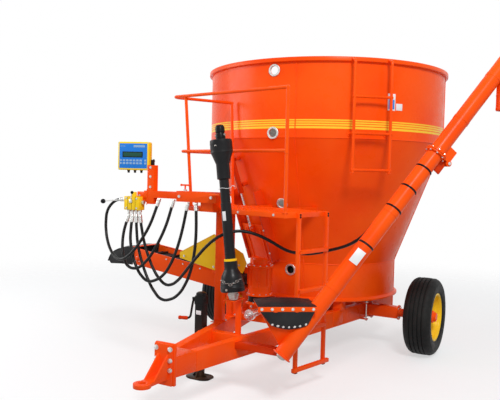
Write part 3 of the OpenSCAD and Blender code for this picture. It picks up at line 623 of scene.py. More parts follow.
def make_hoses():
    for number, route in enumerate(ROUTES, 1):
        path = rounded_route(route)
        line = bpy.data.curves.new(f"hydraulic_hose_{number}", "CURVE")
        line.dimensions = "3D"
        line.resolution_u = 6
        line.bevel_depth = HOSE_R
        line.bevel_resolution = 4
        line.use_fill_caps = True
        spline = line.splines.new("BEZIER")
        spline.bezier_points.add(len(path) - 1)
        for point, place in zip(spline.bezier_points, path):
            point.co = place + SHIFT
            point.handle_left_type = "AUTO"
            point.handle_right_type = "AUTO"
        line.materials.append(hose_rubber)
        hose = bpy.data.objects.new(f"hydraulic_hose_{number}", line)
        bpy.context.scene.collection.objects.link(hose)
        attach(hose, "wagon")
        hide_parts(f"hose_{number}")
        ends = bmesh.new()
        for tip, inner in ((path[0], path[1]), (path[-1], path[-2])):
            run = (inner - tip).normalized()
            add_rod(ends, tip - run * 0.002, tip + run * 0.070, 0.0175, sides=20, edge=0.002, end_radius=0.0160)
            add_rod(ends, tip + run * 0.010, tip + run * 0.026, 0.0195, sides=6, edge=0.001)
            for step in (0.036, 0.048, 0.060):
                add_rod(ends, tip + run * step, tip + run * (step + 0.005), 0.0184, sides=20)
        sleeves = shown(f"hose_sleeves_{number}", ends, [zinc], slot="steel")
        route_length(path)


make_hoses()


# Tub

def sight_frames():
    for z, slopes in ((2.674, 0), (2.110, 0), (1.460, 1), (0.810, 0)):
        yield (Matrix.Rotation(math.radians(-90), 4, "Z") @ Matrix.Translation((wall_r(z), 0.0, z))
               @ Matrix.Rotation(math.radians(90 + slopes * CONE_SLOPE), 4, "Y"))


def sight_cutters():
    for at in sight_frames():
        tool = bmesh.new()
        add_rod(tool, (0, 0, -0.06), (0, 0, 0.06), 0.038, at, sides=48)
        yield tool


def inside_tint(bm, tint):
    """Gives the faces that look at the tub's axis their own finish."""
    bm.normal_update()
    for face in bm.faces:
        middle = face.calc_center_median()
        if face.normal.x * middle.x + face.normal.y * middle.y < -0.2 * Vector((middle.x, middle.y)).length:
            face.material_index = tint


def make_tub():
    ring = bmesh.new()
    add_turned(ring, [(TUB_R - WALL, CONE_TOP_Z), (TUB_R, CONE_TOP_Z), (TUB_R, 2.40), (TUB_R, RING_TOP_Z),
                      (TUB_R - WALL, RING_TOP_Z), (TUB_R - WALL, 2.40)], sides=180, closed=True)
    ring = without(ring, list(sight_cutters())[:2])
    inside_tint(ring, 1)
    shown("tub_upper_wall", ring, [tub_paint, worn_steel], stands_for=[f"tub_ring_{k}" for k in (1, 2, 3, 4)],
          slot="paint", smooth=25)

    cone = bmesh.new()
    rows = 4
    levels = [CONE_LOW_Z + (CONE_TOP_Z - CONE_LOW_Z) * k / rows for k in range(rows + 1)]
    outer = [(wall_r(z) if z < CONE_TOP_Z else TUB_R, z) for z in levels]
    inner = [(r - WALL, z) for r, z in reversed(outer)]
    add_turned(cone, outer + inner, sides=180, closed=True)
    door_cut = bmesh.new()
    add_block(door_cut, (0.0, 0.0, 0.190), (0.270, 0.240, 0.280), 0.0, DOOR)
    cone = without(cone, [list(sight_cutters())[2], door_cut])
    inside_tint(cone, 1)
    shown("tub_cone_wall", cone, [orange_paint, worn_steel], stands_for=[f"tub_cone_{k}" for k in (1, 2, 3, 4)],
          slot="paint", smooth=25)

    base = bmesh.new()
    add_turned(base, [(0.116, FLOOR_Z), (LOW_R, FLOOR_Z), (LOW_R, 0.70), (LOW_R, CONE_LOW_Z),
                      (LOW_R - WALL, CONE_LOW_Z), (LOW_R - WALL, 0.70), (LOW_R - WALL, FLOOR_Z + 0.012),
                      (0.116, FLOOR_Z + 0.012)], sides=180, closed=True)
    base = without(base, [list(sight_cutters())[3]])
    inside_tint(base, 1)
    for face in base.faces:
        if face.normal.z > 0.9 and face.calc_center_median().z < FLOOR_Z + 0.02:
            face.material_index = 1
    add_turned(base, [(LOW_R + 0.001, 0.528), (LOW_R + 0.030, 0.528), (LOW_R + 0.030, 0.540), (LOW_R + 0.001, 0.560)],
               sides=180, closed=True)
    bolt_circle(base, 16, 0.560, FLOOR_Z - 0.001, 0.011, first=8, up=-1.0)
    shown("tub_bottom_ring", base, [orange_paint, worn_steel], stands_for=["tub_base"], slot="paint", smooth=25)

    rim = bmesh.new()
    inner_r, outer_r, cut = TUB_R - WALL - 0.004, TUB_R + 0.028, 0.005
    add_turned(rim, [(inner_r, 2.747), (inner_r + cut, RING_TOP_Z), (outer_r - cut, RING_TOP_Z), (outer_r, 2.747),
                     (outer_r, RIM_Z - cut), (outer_r - 0.0015, RIM_Z - 0.0015), (outer_r - cut, RIM_Z),
                     (inner_r + cut, RIM_Z), (inner_r + 0.0015, RIM_Z - 0.0015), (inner_r, RIM_Z - cut)],
               sides=180, closed=True)
    shown("tub_rim_bar", rim, [orange_paint], stands_for=["tub_rim"], slot="paint", smooth=25)

    beads = bmesh.new()
    for angle in SEAM_ANGLES:
        at = Matrix.Rotation(math.radians(angle), 4, "Z")
        add_bar(beads, [(TUB_R + 0.0005, 0, RING_TOP_Z), (TUB_R + 0.0005, 0, CONE_TOP_Z)], 0.0045, at)
        add_bar(beads, [(TUB_R + 0.0005, 0, CONE_TOP_Z), (LOW_R + 0.0005, 0, CONE_LOW_Z),
                        (LOW_R + 0.0005, 0, 0.56)], 0.0045, at)
    for radius, z, size in ((TUB_R, CONE_TOP_Z, 0.0045), (LOW_R, CONE_LOW_Z, 0.0055)):
        loop = [(radius + size * math.cos(math.radians(a)), z + size * math.sin(math.radians(a)))
                for a in range(0, 360, 60)]
        add_turned(beads, loop, sides=180, closed=True)
    shown("tub_weld_beads", beads, [orange_paint], slot="paint")

    rings = bmesh.new()
    for at in sight_frames():
        add_turned(rings, [(0.0382, -0.004), (0.0382, 0.007), (0.040, 0.009), (0.053, 0.009), (0.056, 0.006),
                           (0.056, 0.0)], at, 0, 48, closed=True)
        bolt_circle(rings, 6, 0.0475, 0.0088, 0.0038, at)
    shown("sight_hole_rings", rings, [zinc], stands_for=["sight_rings"], slot="steel")

    lift = bmesh.new()
    for angle in (55, 145, 235, 325):
        at = Matrix.Rotation(math.radians(angle), 4, "Z")
        add_plate(lift, [(-0.04, 0.0), (0.04, 0.0), (0.04, 0.07), (0.02, 0.10), (-0.02, 0.10), (-0.04, 0.07)], 0.010,
                  at @ placed((TUB_R - WALL - 0.016, 0.0, 2.60), x=90, z=90))
    shown("tub_lifting_lugs", lift, [orange_paint], slot="paint")


def make_mixing_auger():
    bm = bmesh.new()
    shaft_low, shaft_top = 0.538, 2.268
    add_turned(bm, [(0.0, shaft_low), (0.110, shaft_low), (0.110, 2.252), (0.104, 2.262), (0.090, shaft_top), (0.0, shaft_top)],
               sides=64)
    bolt_circle(bm, 6, 0.070, 2.262, 0.006, tint=1)
    part = bmesh.new()
    section = [part.verts.new(p) for p in ((0.098, 0, 0.550), (0.69, 0, 0.550), (0.69, 0, 0.562), (0.098, 0, 0.562))]
    face = part.faces.new(section)
    steps = 150
    climb = (2.250 - 0.550) / steps
    bmesh.ops.spin(part, geom=[face, *section, *face.edges], cent=(0, 0, 0), axis=(0, 0, 1), dvec=(0, 0, climb),
                   angle=math.radians(900), steps=steps, use_merge=False)
    bmesh.ops.remove_doubles(part, verts=part.verts, dist=0.00002)
    for vert in part.verts:
        radius = Vector((vert.co.x, vert.co.y)).length
        if radius > 0.3:
            share = max(0.0, min(1.0, (vert.co.z - 0.550) / 1.700))
            wanted = 0.690 + (0.330 - 0.690) * share ** 0.8
            vert.co.x *= wanted / radius
            vert.co.y *= wanted / radius
    bmesh.ops.recalc_face_normals(part, faces=part.faces)
    joined(bm, part)
    for share in (0.10, 0.26, 0.42, 0.56, 0.70, 0.84, 0.97):
        turn = math.radians(900 * share)
        radius = 0.690 + (0.330 - 0.690) * share ** 0.8
        at = (Matrix.Rotation(turn, 4, "Z") @ Matrix.Translation((radius - 0.05, 0.0, 0.563 + 1.700 * share))
              @ Matrix.Rotation(math.radians(9), 4, "X"))
        add_plate(bm, [(-0.060, -0.10), (0.040, -0.13), (0.048, 0.06), (-0.050, 0.10)], 0.008, at, 1)
        for y in (-0.04, 0.04):
            add_bolt(bm, (-0.02, y, 0.008), (0, 0, 1), 0.010, at, 1)
    shown("mixing_auger_flight", bm, [worn_steel, bright_steel], body="mixing_auger", stands_for=["mixing_auger"],
          slot="worn_steel")


make_tub()
make_mixing_auger()


# Wheels

def make_wheels():
    for side, name in ((1, "left"), (-1, "right")):
        at = Matrix.Translation((side * WHEEL_X, AXLE_Y, TYRE_R)) @ Matrix.Rotation(math.radians(side * 90), 4, "Y")
        tyre = bmesh.new()
        outline = [(0.214, -0.094), (0.222, -0.106), (0.236, -0.114), (0.250, -0.119), (0.254, -0.124), (0.262, -0.124),
                   (0.266, -0.126), (0.300, -0.131), (0.318, -0.129), (0.326, -0.129), (0.330, -0.1255),
                   (0.345, -0.118), (0.358, -0.107), (0.366, -0.095), (0.370, -0.086)]
        ribs = []
        for middle in (-0.058, -0.0205, 0.0205, 0.058):
            crown = 0.376 - 0.8 * middle * middle
            ribs += [(crown, middle - 0.0062), (crown - 0.009, middle - 0.0040), (crown - 0.009, middle + 0.0040),
                     (crown, middle + 0.0062)]
        mirrored = [(r, -a) for r, a in reversed(outline)]
        crowns = [(0.3735, -0.0785)] + ribs + [(0.3735, 0.0785)]
        add_turned(tyre, outline + crowns + mirrored + [(0.210, 0.05), (0.208, -0.05)], at, 0, 128, closed=True)
        shown(f"ribbed_tyre_{name}", tyre, [tyre_rubber], body=f"wheel_{name}", stands_for=[f"tyre_{name}"],
              slot="tyre", smooth=40)

        rim = bmesh.new()
        add_turned(rim, [(0.229, -0.103), (0.231, -0.108), (0.222, -0.110), (0.213, -0.100), (0.211, -0.085),
                         (0.207, -0.062), (0.190, -0.044), (0.188, 0.024), (0.192, 0.040), (0.207, 0.058),
                         (0.211, 0.085), (0.213, 0.100), (0.222, 0.110), (0.231, 0.108), (0.229, 0.103)],
                   at, 0, 96, thick=-0.004)
        add_turned(rim, [(0.062, 0.036), (0.116, 0.036), (0.126, 0.033), (0.146, 0.026), (0.158, 0.030), (0.172, 0.042),
                         (0.187, 0.042), (0.187, 0.034), (0.174, 0.034), (0.161, 0.022), (0.147, 0.018), (0.124, 0.024),
                         (0.062, 0.026)], at, 0, 96, closed=True)
        add_rod(rim, (0.196, 0.0, 0.044), (0.186, 0.0, 0.078), 0.0045, at, 1, 12)
        shown(f"dished_wheel_{name}", rim, [yellow_paint, black_paint], body=f"wheel_{name}",
              stands_for=[f"wheel_{name}"], slot="yellow_paint", smooth=35)

        hub = bmesh.new()
        add_turned(hub, [(0.026, -0.090), (0.056, -0.090), (0.060, -0.084), (0.060, 0.006), (0.085, 0.008), (0.085, 0.026),
                         (0.062, 0.0265), (0.060, 0.040), (0.058, 0.084), (0.050, 0.092), (0.046, 0.094), (0.045, 0.108),
                         (0.038, 0.115), (0.0, 0.116), ], at, 0, 64)
        for k in range(5):
            turn = math.tau * k / 5
            spot = (0.092 * math.cos(turn), 0.092 * math.sin(turn))
            add_bolt(hub, (*spot, 0.0362), (0, 0, 1), 0.0125, at, 1)
            add_rod(hub, (*spot, 0.040), (*spot, 0.058), 0.0065, at, 1, 12, 0.001)
        for k in range(3):
            turn = math.tau * (k + 0.3) / 3
            add_plate(hub, [(0.058, 0.0), (0.083, 0.0), (0.060, 0.046)], 0.006,
                      at @ Matrix.Rotation(turn, 4, "Z") @ placed((0.0, 0.003, 0.0265), x=90))
        shown(f"wheel_hub_{name}", hub, [orange_paint, zinc], body=f"wheel_{name}", stands_for=[f"hub_{name}"],
              slot="paint")


make_wheels()


# Drawbar, axle and hitch

def bolted(name, bm, bolts, finishes, slot, size=0.011, **place):
    """Adds bolts at (point, direction) pairs and shows the piece."""
    for point, direction in bolts:
        add_bolt(bm, point, direction, size, tint=len(finishes) - 1)
    return shown(name, bm, finishes, slot=slot, **place)


def make_drawbar():
    for side, name in ((1, "left"), (-1, "right")):
        bm = from_frame(f"drawbar_beam_{name}", 0.007, 3)
        for y in (-1.900, -0.900, 0.430):
            add_bar(bm, [(side * (beam_x(y) - 0.036), y - 0.036, 0.312), (side * (beam_x(y) - 0.036), y - 0.036, 0.418)], 0.004)
        at = placed((side * (beam_x(0.48) + 0.006), 0.476, 0.365), x=-90)
        add_block(bm, (0.0, 0.0, 0.004), (0.066, 0.146, 0.006), 0.002, at)
        shown(f"drawbar_tube_{name}", bm, [orange_paint], stands_for=[f"drawbar_beam_{name}"], slot="paint")

    cross = from_frame("cross_members", 0.004)
    bolts = [((side * 0.030, NOSE_Y - 0.0845, z), (0, -1, 0)) for side in (-1, 1) for z in (0.500,)]
    bolted("cross_frame", cross, [], [orange_paint], "paint", stands_for=["cross_members"])

    hitch = from_frame("hitch_plate", 0.003)
    plate_y = NOSE_Y - 0.104
    bolts = [((x, plate_y + 0.001, z), (0, -1, 0)) for x in (-0.060, 0.060) for z in (0.352, 0.420, 0.500)]
    add_turned(hitch, [(0.026, -0.014), (0.0265, 0.0155), (0.040, 0.0165), (0.046, 0.013)], placed((0, -3.030, 0.300)), 0, 48)
    bolted("hitch_eye_plate", hitch, bolts, [orange_paint, zinc], "paint", 0.014, stands_for=["hitch_plate"])

    gusset = bmesh.new()
    lean = math.degrees(math.atan((0.533 - 0.057) / 2.7))
    for side in (1, -1):
        for y, length in ((-2.060, 0.150), (-0.640, 0.170)):
            x = side * (beam_x(y) + 0.0365)
            add_plate(gusset, [(-length / 2, -0.055), (length / 2, -0.055), (length / 2, 0.060), (length * 0.1, 0.078),
                               (-length / 2, 0.060)], 0.006,
                      placed((x, y, 0.365), x=90, z=90 - side * lean) @ Matrix.Translation((0, 0, -0.003)))
    shown("beam_gussets", gusset, [orange_paint], slot="paint")

    axle = from_frame("axle_beam", 0.006)
    for side in (-1, 1):
        at = Matrix.Translation((side * 0.790, AXLE_Y, TYRE_R)) @ Matrix.Rotation(math.radians(side * 90), 4, "Y")
        add_turned(axle, [(0.056, 0.088), (0.074, 0.090), (0.074, 0.100), (0.048, 0.102)], at, 0, 48)
        bolt_circle(axle, 4, 0.062, 0.1005, 0.006, at, 1, 45)
        for y in (AXLE_Y - 0.082, AXLE_Y + 0.082):
            x = side * (beam_x(AXLE_Y) + 0.002)
            add_rod(axle, (x - 0.048, y, 0.270), (x - 0.048, y, 0.462), 0.008, tint=1, sides=16)
            add_rod(axle, (x + 0.048, y, 0.270), (x + 0.048, y, 0.462), 0.008, tint=1, sides=16)
            add_block(axle, (x, y, 0.447), (0.130, 0.040, 0.010), 0.002, tint=0)
            add_block(axle, (x, y, 0.283), (0.130, 0.040, 0.010), 0.002, tint=0)
            for step in (-0.048, 0.048):
                add_bolt(axle, (x + step, y, 0.452), (0, 0, 1), 0.012, tint=1)
                add_bolt(axle, (x + step, y, 0.278), (0, 0, -1), 0.012, tint=1)
    shown("axle_tube", axle, [orange_paint, zinc], stands_for=["axle_beam"], slot="paint")

    box = from_frame("gearbox", 0.004)
    bolt_circle(box, 12, 0.180, 0.301, 0.010, tint=1, up=-1.0)
    bolt_circle(box, 12, 0.184, 0.449, 0.010, tint=1)
    add_turned(box, [(0.206, 0.315), (0.215, 0.318), (0.215, 0.332), (0.206, 0.335)], sides=64)
    add_turned(box, [(0.206, 0.415), (0.215, 0.418), (0.215, 0.432), (0.206, 0.435)], sides=64)
    add_bar(box, [(0.0, 0.0, 0.302), (0.0, 0.0, 0.292)], 0.016, tint=1)
    # The gearbox takes the darker copy of the orange paint: painted shade under the tub.
    shown("planetary_gearbox", box, [painted_shade_orange, zinc], stands_for=["gearbox"], slot="deep_paint")

    wash = from_frame("posts", 0.004)
    for y, depth in ((-1.682, 0.060), (-1.440, 0.050)):
        x = -beam_x(y)
        add_block(wash, (x, y, 0.4445), (0.110, depth + 0.060, 0.008), 0.002)
        for step in (-1, 1):
            add_bolt(wash, (x + 0.035 * step, y + (depth / 2 + 0.018) * step, 0.448), (0, 0, 1), 0.010, tint=1)
    shown("platform_posts", wash, [orange_paint, zinc], stands_for=["posts"], slot="paint")


make_drawbar()


# Jack

def make_jack():
    bm = bmesh.new()
    tube = bmesh.new()
    bmesh.ops.create_cube(tube, size=1.0)
    bmesh.ops.scale(tube, verts=tube.verts, vec=(0.080, 0.080, 0.570))
    bmesh.ops.translate(tube, verts=tube.verts, vec=(0.0, 0.0, 0.415))
    soften(tube, [e for e in tube.edges if abs((e.verts[0].co - e.verts[1].co).z) > 0.1], 0.008, 3)
    joined(bm, tube, JACK)
    add_block(bm, (0, 0, 0.136), (0.088, 0.088, 0.012), 0.003, JACK)
    add_block(bm, (0, 0, 0.660), (0.086, 0.086, 0.070), 0.004, JACK)
    add_turned(bm, [(0.0, 0.730), (0.030, 0.729), (0.042, 0.722), (0.046, 0.712), (0.046, 0.694), (0.0, 0.694)], JACK, sides=40)
    add_block(bm, (0.046, 0, 0.365), (0.012, 0.100, 0.146), 0.002, JACK)
    for y in (-0.036, 0.036):
        for z in (0.315, 0.415):
            add_bolt(bm, (0.0405, y, z), (-1, 0, 0), 0.009, JACK, 1)
    for z in (0.190, 0.240):
        add_rod(bm, (0, -0.041, z), (0, -0.043, z), 0.010, JACK, 1)
    add_block(bm, (0, -0.0402, 0.560), (0.050, 0.001, 0.034), 0.0004, JACK, 2)
    add_rod(bm, (-0.038, 0, 0.670), (-0.078, -0.020, 0.670), 0.012, JACK, 0, edge=0.002)
    add_bar(bm, [(-0.060, -0.018, 0.676), (-0.072, -0.020, 0.640), (-0.090, -0.030, 0.500), (-0.190, -0.060, 0.500)],
            0.0095, JACK, 0, reach=0.03)
    add_turned(bm, [(0.0, 0.0), (0.013, 0.001), (0.017, 0.010), (0.0145, 0.030), (0.0165, 0.060), (0.015, 0.080), (0.010, 0.085), (0, 0.085)],
               JACK @ facing((-0.190, -0.060, 0.500), (0.958, 0.287, 0.0)), 3, 24)
    leg = bmesh.new()
    bmesh.ops.create_cube(leg, size=1.0)
    bmesh.ops.scale(leg, verts=leg.verts, vec=(0.061, 0.061, 0.160))
    bmesh.ops.translate(leg, verts=leg.verts, vec=(0.0, 0.0, 0.090))
    soften(leg, [e for e in leg.edges if abs((e.verts[0].co - e.verts[1].co).z) > 0.1], 0.006, 3)
    joined(bm, leg, JACK)
    foot = [(0.115 * math.cos(math.tau * k / 32), 0.085 * math.sin(math.tau * k / 32)) for k in range(32)]
    foot = [(max(-0.115, min(0.115, x * 1.12)), max(-0.085, min(0.085, y * 1.12))) for x, y in foot]
    add_plate(bm, foot, 0.012, JACK, 0, 0.003)
    for turn in range(0, 360, 90):
        add_plate(bm, [(0.030, 0.0), (0.072, 0.0), (0.030, 0.050)], 0.006,
                  JACK @ Matrix.Rotation(math.radians(turn), 4, "Z") @ placed((0, 0.003, 0.012), x=90))
    shown("parking_jack", bm, [black_paint, zinc, white_plate, painted_shade_orange], stands_for=["jack"], slot="black_paint")


make_jack()


# Platform, rails and ladders

def make_platform():
    deck = from_frame("deck", 0.003)
    for row in range(17):
        for column in range(34):
            x = 0.018 + 0.0322 * column
            y = 0.020 + 0.0325 * row
            if x < 1.09 and y < 0.55:
                stud = bmesh.new()
                bmesh.ops.create_cone(stud, cap_ends=True, cap_tris=False, segments=6, radius1=0.011, radius2=0.007, depth=0.0016)
                bmesh.ops.scale(stud, verts=stud.verts, vec=(1.0, 0.36, 1.0))
                turn = 45 if (row + column) % 2 else -45
                joined(deck, stud, DECK @ placed((x, y, DECK_Z + 0.0008), z=turn))
    for x in (0.12, 0.50, 0.98):
        add_bolt(deck, (x, 0.0, DECK_Z - 0.020), (0, -1, 0), 0.008, DECK, 1)
    shown("platform_floor", deck, [orange_paint, zinc], stands_for=["deck"], slot="paint")

    rails = bmesh.new()
    top, middle = DECK_Z + 0.960, DECK_Z + 0.480
    posts = [(0.014, 0.014, -0.010, -0.020), (1.080, 0.014, 1.130, -0.030), (1.080, 0.540, 1.160, 0.580)]
    for x, y, top_x, top_y in posts:
        add_bar(rails, [(x, y, DECK_Z), (top_x, top_y, top)], 0.014, DECK)
        add_turned(rails, [(0.0145, 0.0), (0.022, 0.0), (0.020, 0.006), (0.0145, 0.010)], DECK @ placed((x, y, DECK_Z)), sides=24)
    add_bar(rails, [(-0.010, -0.020, top), (1.260, -0.040, top), (1.290, 0.010, top), (1.160, 0.580, top)], 0.014,
            DECK, reach=0.030)
    add_bar(rails, [(0.002, -0.003, middle), (1.180, -0.014, middle), (1.200, 0.020, middle), (1.120, 0.560, middle)],
            0.014, DECK, reach=0.030)
    for index, (x, y) in enumerate(((-0.010, -0.020), (1.160, 0.580))):
        ball = bmesh.new()
        bmesh.ops.create_uvsphere(ball, u_segments=24, v_segments=12, radius=0.0152)
        joined(rails, ball, DECK @ placed((x, y, top)))
    for x, y, share in ((0.002, -0.003, 0.5), (1.105, -0.008, 0.5), (1.120, 0.560, 0.5), (1.130, -0.030, 1.0)):
        add_turned(rails, [(0.0142, -0.006), (0.0168, -0.003), (0.0168, 0.003), (0.0142, 0.006)],
                   DECK @ placed((x, y, DECK_Z + 0.960 * share - 0.016)), sides=24)
    shown("guard_rail_tubes", rails, [orange_paint], stands_for=["guard_rails"], slot="paint")

    steps = bmesh.new()
    for y in (0.150, 0.520):
        add_block(steps, (-0.015, y, 0.805), (0.030, 0.030, 1.270), 0.004, DECK)
        add_block(steps, (-0.015, y, 0.1715), (0.032, 0.032, 0.006), 0.002, DECK, 1)
        for z in (1.410, 1.428):
            add_bolt(steps, (-0.030, y, z - 0.004), (-1, 0, 0), 0.0065, DECK, 1)
    for z in (0.200, 0.510, 0.820, 1.130):
        spare = 0.050 if z < 0.3 else 0.0
        add_block(steps, (-0.030, 0.335, z), (0.030, 0.370 + 2 * spare, 0.032), 0.004, DECK)
        for k in range(9):
            add_block(steps, (-0.030, 0.195 + 0.035 * k, z + 0.0163), (0.024, 0.006, 0.0022), 0.0006, DECK)
        for y in (0.150, 0.520):
            add_bar(steps, [(-0.0455, y - 0.014, z + 0.014), (-0.0455, y + 0.014, z + 0.014)], 0.0024, DECK)
    shown("platform_ladder", steps, [orange_paint, black_paint], stands_for=["lower_ladder"], slot="paint")

    climb = bmesh.new()
    half = 0.170
    wall_x = math.sqrt(TUB_R ** 2 - half ** 2)
    rim_x = math.sqrt((TUB_R + 0.028) ** 2 - half ** 2)
    for side in (-1, 1):
        y = side * half
        add_bar(climb, [(1.300, y, 1.760), (1.300, y, RIM_Z - 0.040), (rim_x, y, RIM_Z - 0.020)], 0.013, LADDER, reach=0.02)
        add_bar(climb, [(1.300, y, 2.110), (wall_x, y, 2.110)], 0.010, LADDER)
        add_turned(climb, [(0.0, 0.0), (0.028, 0.0), (0.026, 0.005), (0.0, 0.006)],
                   LADDER @ facing((wall_x, y, 2.110), (wall_x, y, 0.0)), sides=24)
        add_turned(climb, [(0.0, 1.757), (0.011, 1.758), (0.014, 1.764), (0.013, 1.770)], LADDER @ placed((1.300, y, 0)), sides=24)
    for z in (1.790, 2.110, 2.430):
        add_bar(climb, [(1.300, -half - 0.016, z), (1.300, half + 0.016, z)], 0.013, LADDER)
        for k in range(10):
            y = -0.135 + 0.030 * k
            add_turned(climb, [(0.0128, -0.002), (0.0145, -0.001), (0.0145, 0.001), (0.0128, 0.002)],
                       LADDER @ placed((1.300, y, z), x=90), sides=16)
    shown("tub_ladder", climb, [orange_paint], stands_for=["upper_ladder"], slot="paint")


make_platform()


# Arm, monitor and valve

def make_arm():
    bm = from_frame("arm", 0.004)
    for x in (-0.180, -0.500):
        add_bolt(bm, (x, -1.950, 1.530), (0, -1, 0), 0.010, tint=1)
        add_bolt(bm, (x, -1.860, 1.530), (0, 1, 0), 0.010, tint=1)
    add_turned(bm, [(0.0, 1.575), (0.017, 1.575), (0.017, 1.588), (0.0085, 1.590), (0.0085, 1.578)],
               placed((-0.470, -1.905, 0.0)), 1, 24)
    for x in (-0.430, -0.510):
        ball = bmesh.new()
        bmesh.ops.create_uvsphere(ball, u_segments=16, v_segments=10, radius=0.0105)
        joined(bm, ball, placed((x, -1.905, 1.626)))
    for z in (1.600, 1.690, 1.770):
        add_bolt(bm, (-0.820, -1.9355, z), (0, -1, 0), 0.009, tint=1)
    for x in (-0.950, -0.880):
        add_bolt(bm, (x, -1.9205, 1.520), (0, -1, 0), 0.008, tint=1)
    add_bar(bm, [(-0.8545, -1.937, 1.580), (-0.8545, -1.937, 1.440)], 0.003)
    shown("swing_arm", bm, [orange_paint, zinc], stands_for=["arm"], slot="paint")


def make_monitor():
    bm = bmesh.new()
    add_block(bm, (0, 0.006, 0), (0.290, 0.078, 0.250), 0.014, MONITOR, 0, 3)
    add_block(bm, (0, -0.033, 0), (0.288, 0.022, 0.248), 0.009, MONITOR, 0, 3)
    add_block(bm, (0, -0.0405, 0), (0.262, 0.008, 0.222), 0.003, MONITOR, 1)
    add_block(bm, (-0.006, -0.0435, 0.012), (0.190, 0.0035, 0.052), 0.0015, MONITOR, 2)
    add_block(bm, (-0.006, -0.0446, 0.012), (0.172, 0.0030, 0.036), 0.001, MONITOR, 3)
    for row in range(2):
        for column in range(6):
            add_block(bm, (-0.085 + 0.031 * column, -0.0445, -0.040 - 0.025 * row), (0.023, 0.003, 0.017), 0.0012, MONITOR, 4)
    for z in (-0.040, -0.065):
        for x in (-0.115, 0.112):
            add_block(bm, (x, -0.0445, z), (0.017, 0.003, 0.017), 0.0012, MONITOR, 4)
    for k in range(3):
        add_rod(bm, (-0.112 + 0.016 * k, -0.044, 0.085), (-0.112 + 0.016 * k, -0.046, 0.085), 0.0042, MONITOR, 4, 16)
    add_block(bm, (0.055, -0.0445, 0.085), (0.105, 0.0024, 0.020), 0.001, MONITOR, 4)
    for x in (-0.138, 0.138):
        for z in (-0.118, 0.118):
            add_rod(bm, (x * 0.985, -0.0435, z * 0.985), (x * 0.985, -0.0452, z * 0.985), 0.0045, MONITOR, 5, 16)
    for x in (-0.060, 0.000, 0.060):
        at = MONITOR @ placed((x, 0.004, -0.125), x=180)
        add_turned(bm, [(0.0, 0.0), (0.013, 0.0), (0.013, 0.007), (0.0105, 0.008), (0.0105, 0.018), (0.008, 0.024), (0.0, 0.024)],
                   at, 6, 20)
    add_block(bm, (0.150, 0.030, -0.060), (0.036, 0.040, 0.060), 0.004, MONITOR, 6)
    add_bar(bm, [(0.160, 0.030, -0.030), (0.160, 0.052, -0.030), (0.160, 0.062, -0.045)], 0.006, MONITOR, 6)
    add_block(bm, (0, 0.046, 0), (0.200, 0.008, 0.120), 0.003, MONITOR, 7)
    shown("weighing_monitor", bm, [case_plastic, blue_panel, black_paint, screen_glass, pale_keys, zinc, guard_plastic,
                                   orange_paint], stands_for=["monitor"], slot="instrument")


def make_valve():
    bm = bmesh.new()
    add_block(bm, (0, 0, 0), (0.170, 0.080, 0.120), 0.005, VALVE, 0)
    for x in (-0.042, 0.0, 0.042):
        add_block(bm, (x, 0, 0), (0.0035, 0.0815, 0.1215), 0.001, VALVE, 2)
    add_turned(bm, [(0.0, 0.058), (0.026, 0.058), (0.026, 0.066), (0.022, 0.068), (0.022, 0.092), (0.017, 0.100), (0, 0.100)], VALVE, 0, 32)
    for x in (-0.060, -0.018, 0.024, 0.066):
        at = VALVE @ placed((x, 0, -0.060), x=180)
        add_rod(bm, (0, 0, 0), (0, 0, 0.016), 0.0175, at, 1, 6, 0.001)
        add_rod(bm, (0, 0, 0.014), (0, 0, 0.040), 0.0125, at, 1, 20)
    for x in (-0.058, 0.058):
        for z in (-0.042, 0.042):
            add_bolt(bm, (x, -0.040, z), (0, -1, 0), 0.007, VALVE, 1)
    add_rod(bm, (0.085, 0, 0.010), (0.112, 0, 0.010), 0.018, VALVE, 1, 6, 0.001)
    add_block(bm, (0.0, -0.048, 0.020), (0.030, 0.018, 0.030), 0.003, VALVE, 1)
    add_rod(bm, (-0.080, -0.020, 0.030), (-0.100, -0.0236, 0.028), 0.012, VALVE, 1, 20, 0.001)
    add_rod(bm, (-0.080, -0.020, 0.030), (-0.296, -0.0593, 0.0084), 0.0055, VALVE, 1, 16)
    knob = bmesh.new()
    bmesh.ops.create_uvsphere(knob, u_segments=28, v_segments=16, radius=0.0215)
    bmesh.ops.scale(knob, verts=knob.verts, vec=(1.12, 1.0, 1.0))
    joined(bm, knob, VALVE @ placed((-0.310, -0.062, 0.006)), 2)
    add_rod(bm, (0.0, -0.052, 0.030), (0.020, -0.060, 0.092), 0.0050, VALVE, 1, 16)
    knob = bmesh.new()
    bmesh.ops.create_uvsphere(knob, u_segments=20, v_segments=12, radius=0.014)
    joined(bm, knob, VALVE @ placed((0.022, -0.0605, 0.096)), 2)
    shown("spool_valve", bm, [yellow_paint, zinc, black_paint], stands_for=["valve"], slot="yellow_paint")


make_arm()
make_monitor()
make_valve()


# Stowed drive shaft

